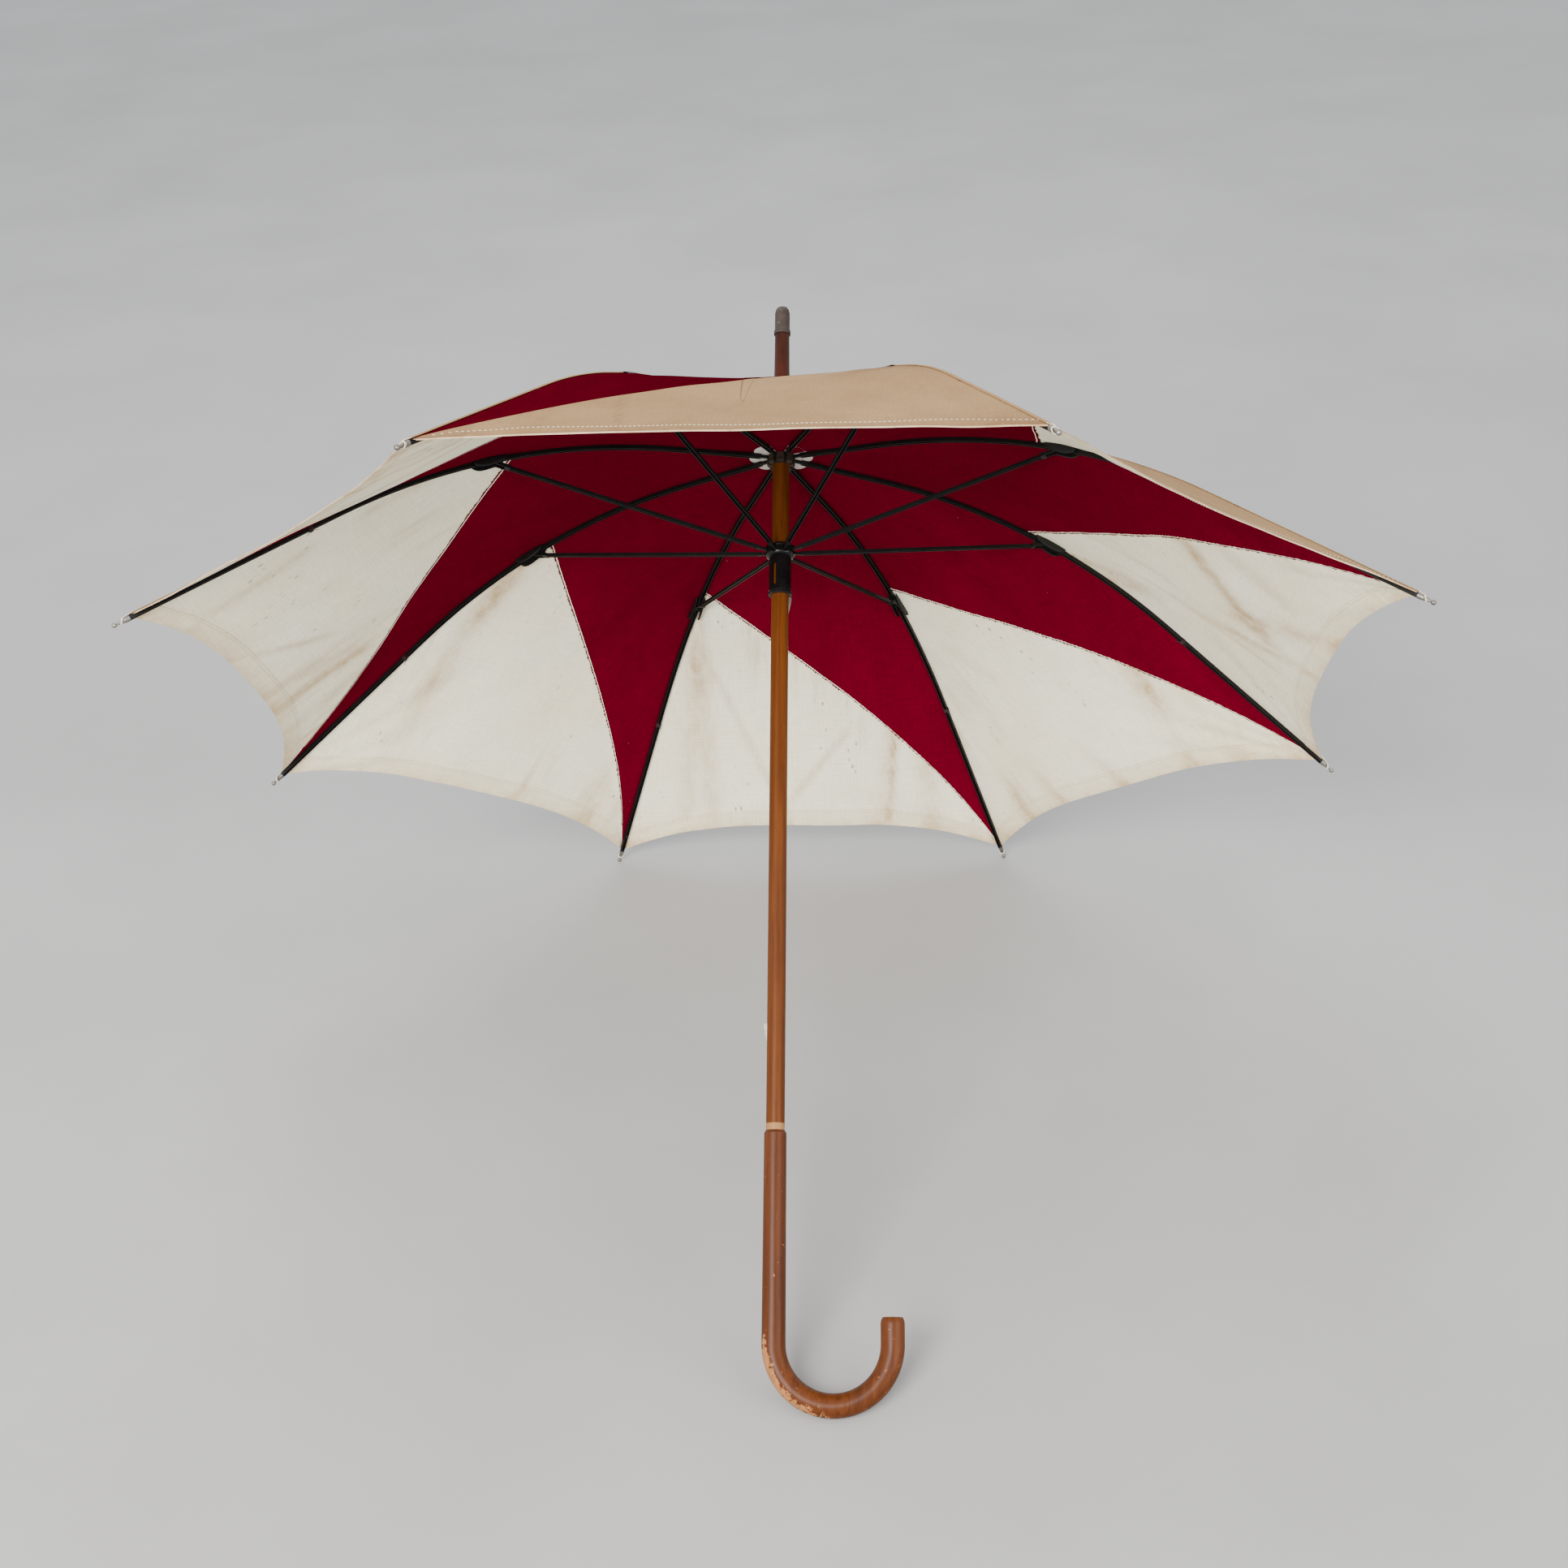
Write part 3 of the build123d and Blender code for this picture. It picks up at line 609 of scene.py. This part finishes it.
def weights(i, near, u, s):
    share = np.clip(2 * (u if near else 1 - u), 0, 1)
    middle = np.interp(s, STATIONS, MIDDLE[i, near])
    if near:
        past = np.clip((u - 0.5) / np.maximum(lap(s), 1e-6), 0, 1)
        middle = middle + past * (np.interp(s, STATIONS, LAP_EDGE[i]) - middle)
    return middle * np.sin(math.pi / 2 * share)


def bend(piece, i, near, values):
    """Bakes a piece's placement into its mesh."""
    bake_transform(piece)


class Cloth(Parts):
    """Pieces of one half panel, given in its (u, s) coordinates."""

    def __init__(self, i, near):
        super().__init__()
        self.i = i
        self.near = near

    def lay(self, u, s, offset):
        return canopy(self.i, u, s, offset), cloth_map(self.i, u, s), weights(self.i, self.near, u, s)

    def slab(self, u, s, top, bottom, slots):
        """A closed layer over a grid of (u, s), with its own outer, inner and rim material slots."""
        rows, columns = u.shape
        first = len(self.points)
        for level, slot, flip in ((top, slots[0], False), (bottom, slots[1], True)):
            points, maps, values = self.lay(u, s, level)
            faces = grid_faces(rows, columns, flip)
            ages = stain_amount(self.i, u, s).ravel()
            self.add(points.reshape(-1, 3), faces, slot, maps.reshape(-1, 2), values.ravel(), ages)
        ring = grid_edge(rows, columns)
        under = rows * columns
        for a, b in zip(ring, ring[1:] + ring[:1]):
            self.faces.append(tuple(first + k for k in (a, b, b + under, a + under)))
            self.slots.append(slots[2])

    def dash(self, u, s, offset, length_u, length_s, width, high, slot=0):
        """A small stitch: a rounded bar along a direction in (u, s)."""
        ends = 4
        t = np.linspace(-0.5, 0.5, ends)
        line_u, line_s = u + t * length_u, s + t * length_s
        path, maps, values = self.lay(line_u, line_s, offset)
        over = self.lay(line_u, line_s, offset + high)[0] - path
        run = path[-1] - path[0]
        run /= np.linalg.norm(run)
        side = np.cross(over, run)
        side /= np.linalg.norm(side, axis=1)[:, None]
        swell = vec([0.35, 1.0, 1.0, 0.35])[:, None]
        profile = ((-0.5, 0.0), (-0.32, 0.8), (0.0, 1.0), (0.32, 0.8), (0.5, 0.0))
        points = np.concatenate([path + side * a * width * swell + over * b * swell for a, b in profile])
        faces = [
            (a * ends + k, a * ends + k + 1, (a + 1) * ends + k + 1, (a + 1) * ends + k)
            for a in range(len(profile) - 1)
            for k in range(ends - 1)
        ]
        self.add(points, faces, slot, np.tile(maps, (len(profile), 1)), np.tile(values, len(profile)))


def sharpen(piece, slot):
    """Keeps the rim of a layer from bending the shading of its two sides."""
    mesh = piece.data
    rim = {}
    for face in mesh.polygons:
        for key in face.edge_keys:
            rim.setdefault(key, set()).add(face.material_index == slot)
    for edge in mesh.edges:
        if len(rim[tuple(sorted(edge.vertices))]) == 2:
            edge.use_edge_sharp = True


def flat_size(i, u, s):
    """(width, length) of the smallest rectangle round a piece's flat cut, and the cut's area."""
    grid = cloth_map(i, u, s)
    best = None
    for angle in np.radians(np.arange(0, 90, 2)):
        a = grid @ vec([math.cos(angle), math.sin(angle)])
        b = grid @ vec([-math.sin(angle), math.cos(angle)])
        size = (np.ptp(a), np.ptp(b))
        if best is None or size[0] * size[1] < best[0] * best[1]:
            best = size
    d1 = grid[1:, 1:] - grid[:-1, :-1]
    d2 = grid[1:, :-1] - grid[:-1, 1:]
    area = 0.5 * np.abs(d1[..., 0] * d2[..., 1] - d1[..., 1] * d2[..., 0]).sum()
    return tuple(float(x) for x in sorted(best)), float(area)


def panel_grid(near, cream):
    """(u, s) over one half of a panel's cream or red cloth."""
    last = 0.992 if cream else 1.0
    u = np.linspace(0, 0.5, COLUMNS) if near else np.linspace(0.5, last, COLUMNS)
    rows = np.linspace(0, 1, CREAM_ROWS if cream else RED_ROWS)[:, None]
    gap = SEAM_GAP / TIP_R
    low = seam_s(u) + gap if cream else np.full(COLUMNS, HOLE / TIP_R)
    high = hem_s(u) if cream else seam_s(u) - gap
    return np.broadcast_to(u, (len(rows), COLUMNS)), low + rows * (high - low)


def lap_grid(cream):
    """(u, s) over a near half's lap, which covers part of the gap that opens at half fold."""
    columns = np.array([-0.12, 0.0, 0.25, 0.5, 0.75, 1.0])
    seam = np.full(len(columns), float(seam_s(0.5)))
    for _ in range(12):
        seam = seam_s(0.5 + columns * lap(seam))
    low, high = (seam + SEAM_GAP / TIP_R, LAP_END) if cream else (HOLE / TIP_R, seam - SEAM_GAP / TIP_R)
    s = low + np.linspace(0, 1, 20 if cream else 48)[:, None] * (high - low)
    return 0.5 + columns * lap(s), s


def make_half(i, near):
    tag = f"{i}_{'a' if near else 'b'}"
    made = {}
    for cream in (False, True):
        u, s = panel_grid(near, cream)
        cloth = Cloth(i, near)
        cloth.slab(u, s, CLOTH_THICK / 2, -CLOTH_THICK / 2, (0, 1, 2))
        if near:
            cloth.slab(*lap_grid(cream), CLOTH_THICK, 0.7 * CLOTH_THICK, (0, 0, 0))
        name = f"canopy_{'cream' if cream else 'red'}_{tag}"
        stuff = (CREAM_OUT, CREAM_IN, HEM_EDGE) if cream else (RED_OUT, RED_IN, RED_IN)
        piece = cloth.build(name, stuff)
        sharpen(piece, 2)
        bend(piece, i, near, cloth.weights)
        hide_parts(f"gore_{'cream' if cream else 'red'}_{i}")
        made[cream] = (piece, flat_size(i, u, s))
    extras = [make_hem(i, near, tag), make_pinking(i, near, tag)]
    for cream, (piece, (flat, area)) in made.items():
        area = min(area, flat[0] * flat[1])


def make_hem(i, near, tag):
    """The turned-up edge inside the canopy, with a line of stitches on both sides of the cloth."""
    last = 0.988
    u = np.linspace(0, 0.5, 60) if near else np.linspace(0.5, last, 60)
    band = HEM_BAND / TIP_R * np.minimum(1, (hem_s(u) - seam_s(u)) / (2.4 * HEM_BAND / TIP_R))
    rows = np.linspace(0, 1, 6)[:, None]
    top = hem_s(u) - band * (1 - 0.06 * perlin(u * 90, 0, i))
    s = top + rows * (hem_s(u) + 0.0004 / TIP_R - top)
    hem = Cloth(i, near)
    hem.slab(np.broadcast_to(u, s.shape), s, -CLOTH_THICK / 2, -CLOTH_THICK / 2 - HEM_THICK, (0, 0, 2))
    count = 60
    for k in range(count):
        at = 0.5 * (k + 0.5) / count if near else 0.5 + 0.5 * (k + 0.5) / count * 0.96
        line = hem_s(at) - 0.86 * float(np.interp(at, u, band))
        step = 0.5 / count * 0.62
        for offset, high in ((-CLOTH_THICK / 2 - HEM_THICK, -0.0004), (CLOTH_THICK / 2, 0.0003)):
            hem.dash(at, line, offset, step, 0, 0.0007, high, 1)
    piece = hem.build(f"hem_{tag}", (HEM_CLOTH, CREAM_THREAD, HEM_EDGE))
    sharpen(piece, 2)
    bend(piece, i, near, hem.weights)
    return piece


def make_pinking(i, near, tag):
    """The seam's raw edges inside the canopy: a narrow red one and a cream one, cut in uneven teeth."""
    rng = np.random.default_rng(100 * i + near)
    count = 110
    edge = Cloth(i, near)
    u = np.linspace(0, 0.5, count) if near else np.linspace(0.5, 0.975, count)
    s = seam_s(u)
    for side, slot, width in ((1, 0, 0.0030), (-1, 1, 0.0007)):
        tooth = width * (0.5 + 0.5 * (np.arange(count) % 2)) * rng.uniform(0.5, 1.2, count)
        outer = s + side * tooth / TIP_R
        inner = s - side * 0.0005 / TIP_R
        grid_u = np.stack([u, u])
        grid_s = np.stack([inner, outer]) if side > 0 else np.stack([outer, inner])
        lift = -CLOTH_THICK / 2 - 0.00005 * (1 if side > 0 else 2)
        edge.slab(grid_u, grid_s, lift, lift - 0.0003, (slot, slot, slot))
    piece = edge.build(f"seam_edge_{tag}", (RED_EDGE, CREAM_IN), smooth=False)
    bend(piece, i, near, edge.weights)
    return piece


for number in range(1, RIBS + 1):
    for near in (True, False):
        make_half(number, near)


# ---- seams over the ribs, rosettes, patches and ties ----
def rib_point(i, r, lift, across=0.0):
    """A point over rib i: lift above its centre line, across towards the next rib."""
    r = np.asarray(r, float)
    slope = rib_slope(r)
    return place(r + lift * np.sin(slope), across, rib_depth(r) - lift * np.cos(slope), i)


def make_rib_seam(i):
    """The two panels' edges sewn together over the rib: a low ridge."""
    seam = Parts()
    r = np.linspace(0.014, TIP_R * 0.998, 150)
    bump = JOINT_BUMP * np.exp(-(((r - JOINT_R) / JOINT_BUMP_LENGTH) ** 2))
    room = ROSETTE_ROOM * (1 - smooth(r, INSIDE_ROSETTE, ROSETTE_ROOM_END))
    base = CLOTH_LIFT + bump + room + CLOTH_THICK / 2 - 0.0001
    left = [(-0.0022, 0.0), (-0.0012, 0.00045), (-0.0003, 0.0008)]
    profile = left + [(0.0006, 0.0007), (0.0014, 0.0004), (0.0021, 0.0)]
    wander = 0.00035 * perlin(r * 40, 0, i * 2.3)
    points = np.concatenate([rib_point(i, r, base + high, t + wander) for t, high in profile])
    n = len(r)
    faces = [
        (a * n + k, a * n + k + 1, (a + 1) * n + k + 1, (a + 1) * n + k)
        for a in range(len(profile) - 1)
        for k in range(n - 1)
    ]
    faces += [tuple(a * n for a in range(len(profile)))[::-1]]
    faces += [tuple(a * n + n - 1 for a in range(len(profile)))]
    faces += [(k + 1, k, (len(profile) - 1) * n + k, (len(profile) - 1) * n + k + 1) for k in range(n - 1)]
    maps = np.concatenate([np.stack([np.full(n, t) + 1.7 * i, r], axis=-1) for t, _ in profile])
    seam.add(points, faces, 0, maps)
    seam_r = SEAM_START * TIP_R
    centre = np.array([r[list(f)[0] % n] for f in seam.faces])
    seam.slots = [1 if c > seam_r else 0 for c in centre]
    piece = seam.build(f"rib_seam_{i}", (RED_OUT, CREAM_OUT))
    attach(piece, f"rib_{i}")


def make_rosettes():
    """Scalloped cloth discs at the crown, one between the ribs and the canopy and one over it."""
    for name, radius, lift, lobe in (
        ("rosette_inside", INSIDE_ROSETTE, ROSETTE_LIFT, 0.16),
        ("rosette_outside", OUTSIDE_ROSETTE, CLOTH_LIFT + 0.0016, 0.13),
    ):
        disc = Parts()
        rings, count = 10, 192
        inner = 0.0074
        angle = np.linspace(0, 2 * math.pi, count, endpoint=False)
        scallop = np.abs(np.cos(angle * RIBS / 2 + math.pi / 2))
        edge = radius * (1 - lobe + lobe * np.sqrt(scallop))
        share = np.linspace(0, 1, rings)[:, None]
        r = inner + share * (edge - inner)
        ripple = 0.00035 * perlin(np.cos(angle) * 2.5 + share, np.sin(angle) * 2.5, radius * 90) * share
        for level, flip in ((0.0002, False), (-0.0002, True)):
            depth = np.maximum(rib_depth(r), 0) - lift - level - ripple
            across = np.sin(angle) * r
            points = place(np.cos(angle) * r, across, depth, 1)
            ring_faces = []
            for a in range(rings - 1):
                for k in range(count):
                    b = (k + 1) % count
                    face = (a * count + k, a * count + b, (a + 1) * count + b, (a + 1) * count + k)
                    ring_faces.append(face[::-1] if flip else face)
            maps = np.stack([np.cos(angle) * r, across], axis=-1).reshape(-1, 2)
            disc.add(points.reshape(-1, 3), ring_faces, 0, maps)
        total = rings * count
        for ring, flip in (((rings - 1) * count, False), (0, True)):
            for k in range(count):
                b = (k + 1) % count
                face = (ring + k, ring + b, ring + b + total, ring + k + total)
                disc.faces.append(face[::-1] if flip else face)
                disc.slots.append(0)
        for k in range(0, count, 3):
            out = edge[k] - 0.0016
            for side in (-1, 1):
                a0, a1 = angle[k] - 0.010, angle[k] + 0.010
                level = lift + side * 0.0003
                line = [(out, a0), (out, a1)]
                path = [
                    place(q * math.cos(a), q * math.sin(a), float(rib_depth(q)) - level, 1) for q, a in line
                ]
                p, f = tube(path, 0.00016, 5)
                disc.add(p, f, 1)
        piece = disc.build(name, (ROSETTE, CREAM_THREAD))
        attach(piece, "root")
        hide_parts("rosettes")


def make_patch(i):
    """A leather disc folded down round the rib's joint, so that its rivet doesn't rub the cloth."""
    patch = Parts()
    rows, columns = 27, 33
    a = np.linspace(-1, 1, rows)[:, None] * np.ones(columns)
    q = np.linspace(-1, 1, columns)[None, :] * np.ones((rows, 1))
    half_length = 0.0132
    open_angle = math.radians(122)
    round_end = np.clip(1 - np.abs(a) ** 3.2, 0, 1) ** 0.5
    width = 0.0047 + 0.0006 * a + 0.0003 * perlin(a * 2, q * 2, i * 4.4)
    cheek = (0.0078 + 0.0016 * a) * (0.35 + 0.65 * round_end)
    angle = q * open_angle * (0.62 + 0.38 * round_end)
    c, w = np.cos(angle), np.sin(angle)
    across = np.sign(w) * np.abs(w) ** 0.7
    high = np.where(c > 0, 0.0034 * np.abs(c) ** 0.6, -cheek * np.abs(c) ** 0.85)
    crinkle = 0.0002 * perlin(a * 4, q * 5, i * 9.1)
    r = JOINT_R + a * half_length
    for inset, flip in ((0.0, False), (0.0006, True)):
        points = rib_point(i, r, high + crinkle - inset * c, across * (width + crinkle - inset * np.abs(w)))
        patch.add(points.reshape(-1, 3), grid_faces(rows, columns, flip))
    ring = grid_edge(rows, columns)
    under = rows * columns
    for p, q in zip(ring, ring[1:] + ring[:1]):
        patch.faces.append((p, p + under, q + under, q))
        patch.slots.append(0)
    piece = patch.build(f"leather_patch_{i}", (PATCH,))
    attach(piece, f"rib_{i}")
    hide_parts(f"joint_patch_{i}")


def make_tie(i):
    """A few turns of thread that tie the cloth to the rib, with a knot and two loose ends."""
    tie = Parts()
    rng = np.random.default_rng(40 + i)
    at = TIP_R * (0.735 + 0.02 * rng.uniform(-1, 1))
    turns = 4
    t = np.linspace(0, turns, turns * 20)
    shape = 2 * math.pi * t
    fat = 3.5
    c, s = np.cos(shape), np.sin(shape)
    grow = (np.abs(c) ** fat + np.abs(s) ** fat) ** (-1 / fat)
    path = rib_point(i, at + (t - turns / 2) * 0.00075, 0.0021 * grow * s, 0.0022 * grow * c)
    p, f = tube(path, 0.00034, 7)
    tie.add(p, f)
    knot = np.linspace(0, 2 * math.pi * 1.5, 26)
    path = rib_point(
        i, at + 0.0007 * np.cos(knot), -0.0023 - 0.0004 * np.sin(knot * 1.5), 0.0006 + 0.0007 * np.sin(knot)
    )
    p, f = tube(path, 0.00036, 7)
    tie.add(p, f)
    for side in (-1, 1):
        k = np.linspace(0, 1, 9)
        hang = -0.0024 - 0.0022 * k**2 * rng.uniform(0.4, 1)
        path = rib_point(i, at + side * 0.004 * k, hang, side * 0.0025 * k + 0.0006)
        p, f = tube(path, np.linspace(0.0003, 0.00018, 9), 6)
        tie.add(p, f)
    piece = tie.build(f"thread_tie_{i}", (DARK_THREAD,))
    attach(piece, f"rib_{i}")


def make_tip_sewing(i):
    """The thread that holds the cloth's corner to the rib tip's eye."""
    sewing = Parts()
    rng = np.random.default_rng(80 + i)
    for k in range(5):
        start = TIP_R - 0.0012 - 0.0016 * rng.uniform(0, 1)
        t = np.linspace(0, 1, 12)
        r = start + t * 0.0072
        side = (rng.uniform(-1, 1) * 0.0028) * (1 - t) + 0.0005 * rng.uniform(-1, 1)
        lift = 0.0030 * (1 - t) ** 0.5 + 0.0021 * t
        path = place(r, side, TIP_DEPTH + (r - TIP_R) * math.tan(TIP_SLOPE) - lift, i)
        p, f = tube(path, 0.0003, 6)
        sewing.add(p, f)
    t = np.linspace(0, 3, 60)
    out = TIP_R + 0.0050 + 0.00035 * (t - 1.5)
    path = place(
        out,
        0.0023 * np.cos(2 * math.pi * t),
        TIP_DEPTH + (out - TIP_R) * math.tan(TIP_SLOPE) - 0.0023 * np.sin(2 * math.pi * t),
        i,
    )
    p, f = tube(path, 0.0003, 6)
    sewing.add(p, f)
    piece = sewing.build(f"tip_sewing_{i}", (CREAM_THREAD,))
    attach(piece, f"rib_{i}")


ROSETTE = cream_cloth("rosette_cloth", (0.66, 0.60, 0.54), (0.52, 0.46, 0.41), (0.30, 0.20, 0.13))
for number in range(1, RIBS + 1):
    make_rib_seam(number)
    make_patch(number)
    make_tie(number)
    make_tip_sewing(number)
make_rosettes()


# ---- finishes of the wooden and metal parts ----
def shaft_wood():
    n = wood("shaft_wood", (0.118, 0.034, 0.006), (0.074, 0.019, 0.0035), (0.18, 0.072, 0.020), 0.71, 0.03)
    colour = n.shader.inputs["Base Color"].links[0].from_socket
    stain = n.noise(n.place((1, 1, 0.5), shaft=True), 90, 4)
    spike = n.mix(n.ramp(stain, [(0.35, 0.0), (0.7, 1.0)]), (0.036, 0.0075, 0.0028), (0.018, 0.0045, 0.002))
    colour = n.mix(n.depth(0.006, 0.002), colour, spike)
    pale = n.math("MULTIPLY", n.depth(0.5425, 0.5432), n.math("SUBTRACT", 1.0, n.depth(0.5476, 0.5480)))
    n.set(Base_Color=n.mix(pale, colour, (0.25, 0.125, 0.048)))
    return n.material


def handle_wood():
    light, dark, bare = (0.088, 0.024, 0.005), (0.050, 0.0125, 0.003), (0.15, 0.056, 0.015)
    n = wood("handle_wood", light, dark, bare, 0.70, 0.08, 1.4)
    colour = n.shader.inputs["Base Color"].links[0].from_socket
    # rubbed through along the outside of the bend, most at its left
    at = n.place(shaft=True)
    split = n.node("ShaderNodeSeparateXYZ", {0: at})
    centre = CROWN @ UP - CROOK_DEPTH
    across = n.math("SUBTRACT", split.outputs[0], CROOK_R)
    along = n.math("SUBTRACT", split.outputs[2], float(centre))
    away = n.math("SQRT", n.math("ADD", n.math("POWER", across, 2.0), n.math("POWER", along, 2.0)))
    outer = n.between(away, 0.0, 1.0, CROOK_R + 0.001, CROOK_R + 0.006)
    left = n.between(split.outputs[0], 0.0, 1.0, 0.055, 0.004)
    where = n.math("MULTIPLY", n.math("MULTIPLY", outer, left), n.depth(0.690, 0.712))
    rough_edge = n.noise(n.place((1, 1, 1), shaft=True), 240, 8, 0.72)
    worn = n.ramp(n.math("ADD", rough_edge, n.math("MULTIPLY", where, 0.30)), [(0.64, 0.0), (0.69, 1.0)])
    colour = n.mix(n.math("MULTIPLY", worn, 0.85), colour, (0.34, 0.145, 0.055))
    dark = n.ramp(n.noise(n.place((1, 1, 0.5), shaft=True), 60, 5, 0.6), [(0.56, 0.0), (0.70, 1.0)])
    colour = n.mix(n.math("MULTIPLY", dark, 0.5), colour, (0.035, 0.011, 0.005))
    rim = n.math("SUBTRACT", 1.0, n.depth(0.5495, 0.5515))
    colour = n.mix(n.math("MULTIPLY", rim, 0.6), colour, (0.06, 0.020, 0.010))
    n.set(Base_Color=colour)
    return n.material


# each node's metal: its name, colour, second colour, roughness, how metallic, wear, rubbed edge, wear's scale
METALS = {
    "ferrule": (
        "ferrule_metal", (0.042, 0.030, 0.025), (0.022, 0.015, 0.012), 0.5, 0.3, 0.60, (0.12, 0.095, 0.08)
    ),
    "ferrule_plug": (
        "end_plug", (0.045, 0.035, 0.028), (0.02, 0.016, 0.014), 0.6, 0.0, 0.58, (0.11, 0.085, 0.065)
    ),
    "top_notch": (
        "notch_metal", (0.055, 0.038, 0.028), (0.020, 0.016, 0.014), 0.5, 0.6, 0.58, (0.13, 0.065, 0.035)
    ),
    "notch_wire": ("wire", (0.045, 0.036, 0.028), (0.020, 0.014, 0.011), 0.5, 0.6, 0.58, (0.10, 0.05, 0.03)),
    "top_spring": (
        "spring_steel", (0.30, 0.28, 0.25), (0.17, 0.14, 0.115), 0.34, 0.9, 0.6, (0.12, 0.065, 0.035)
    ),
    "runner": (
        "runner_paint", (0.003, 0.003, 0.003), (0.006, 0.006, 0.006), 0.12, 0.0, 0.70, (0.06, 0.05, 0.04)
    ),
    "runner_collar": (
        "collar_metal", (0.006, 0.006, 0.006), (0.012, 0.011, 0.01), 0.25, 0.2, 0.585, (0.55, 0.52, 0.47), 130
    ),
    "rib_tip": ("tip_metal", (0.24, 0.225, 0.20), (0.13, 0.115, 0.10), 0.34, 0.9, 0.60, (0.42, 0.39, 0.34)),
    "rib": (
        "black_steel", (0.003, 0.003, 0.003), (0.006, 0.0055, 0.005), 0.42, 0.0, 0.73, (0.05, 0.036, 0.028)
    ),
}
FINISH = {"shaft": shaft_wood(), "crook_handle": handle_wood()}
FINISH.update({node: metal(*look) for node, look in METALS.items()})
SAME = {"runner_wire": "notch_wire", "bottom_spring": "top_spring", "stretcher": "rib"}
for name, node in frame["nodes"].items():
    base = name.rsplit("_", 1)[0] if name[-1].isdigit() else name
    stuff = FINISH.get(SAME.get(base, base))
    if stuff is not None:
        node.data.materials.clear()
        node.data.materials.append(stuff)

# ---- floor, light and camera ----
def make_floor():
    n = Nodes("floor")
    at = n.place()
    patch = n.noise(at, 3.0, 5, 0.55)
    colour = n.mix(n.ramp(patch, [(0.3, 0.0), (0.75, 1.0)]), (0.30, 0.297, 0.29), (0.26, 0.258, 0.25))
    n.set(Base_Color=colour, Roughness=0.85)
    n.normal(n.noise(at, 220, 4), 0.05, 0.0005)
    span = 6.0
    corners = [(-span, -span, 0), (span, -span, 0), (span, span, 0), (-span, span, 0)]
    floor = new_mesh("floor", corners, [(0, 1, 2, 3)], [n.material])


def add_light(name, at, aim, size, power, colour=(1, 1, 1)):
    lamp = bpy.data.lights.new(name, "AREA")
    lamp.shape = "DISK"
    lamp.size = size
    lamp.energy = power
    lamp.color = colour
    rig = bpy.data.objects.new(name, lamp)
    rig.location = at
    rig.rotation_euler = (Vector(aim) - Vector(at)).to_track_quat("-Z", "Y").to_euler()
    bpy.context.scene.collection.objects.link(rig)


def add_camera():
    view = bpy.data.cameras.new("camera")
    view.lens = 48.27
    view.sensor_width = 36.0
    rig = bpy.data.objects.new("camera", view)
    at = Vector((0.11087, -1.38049, 1.18531))
    forward = Vector((-0.06489, 0.84392, -0.53253)).normalized()
    right = Vector((0.99782, 0.04839, -0.04489))
    up = right.cross(forward).normalized()
    right = forward.cross(up)
    rig.matrix_world = Matrix.Translation(at) @ Matrix((right, up, -forward)).transposed().to_4x4()
    bpy.context.scene.collection.objects.link(rig)
    bpy.context.scene.camera = rig


make_floor()
world = bpy.data.worlds.new("studio")
world.use_nodes = True
world.node_tree.nodes["Background"].inputs["Color"].default_value = (0.93, 0.95, 1.0, 1)
world.node_tree.nodes["Background"].inputs["Strength"].default_value = 1.75
bpy.context.scene.world = world
add_light("key", (-1.0, -2.4, 2.2), (0, 0, 0.3), 1.8, 225, (1.0, 0.98, 0.94))
add_light("fill", (1.9, -1.4, 1.3), (0, 0, 0.3), 2.0, 45)
add_light("back", (-0.4, 2.0, 2.3), (0, 0.1, 0.4), 2.0, 30)
add_camera()
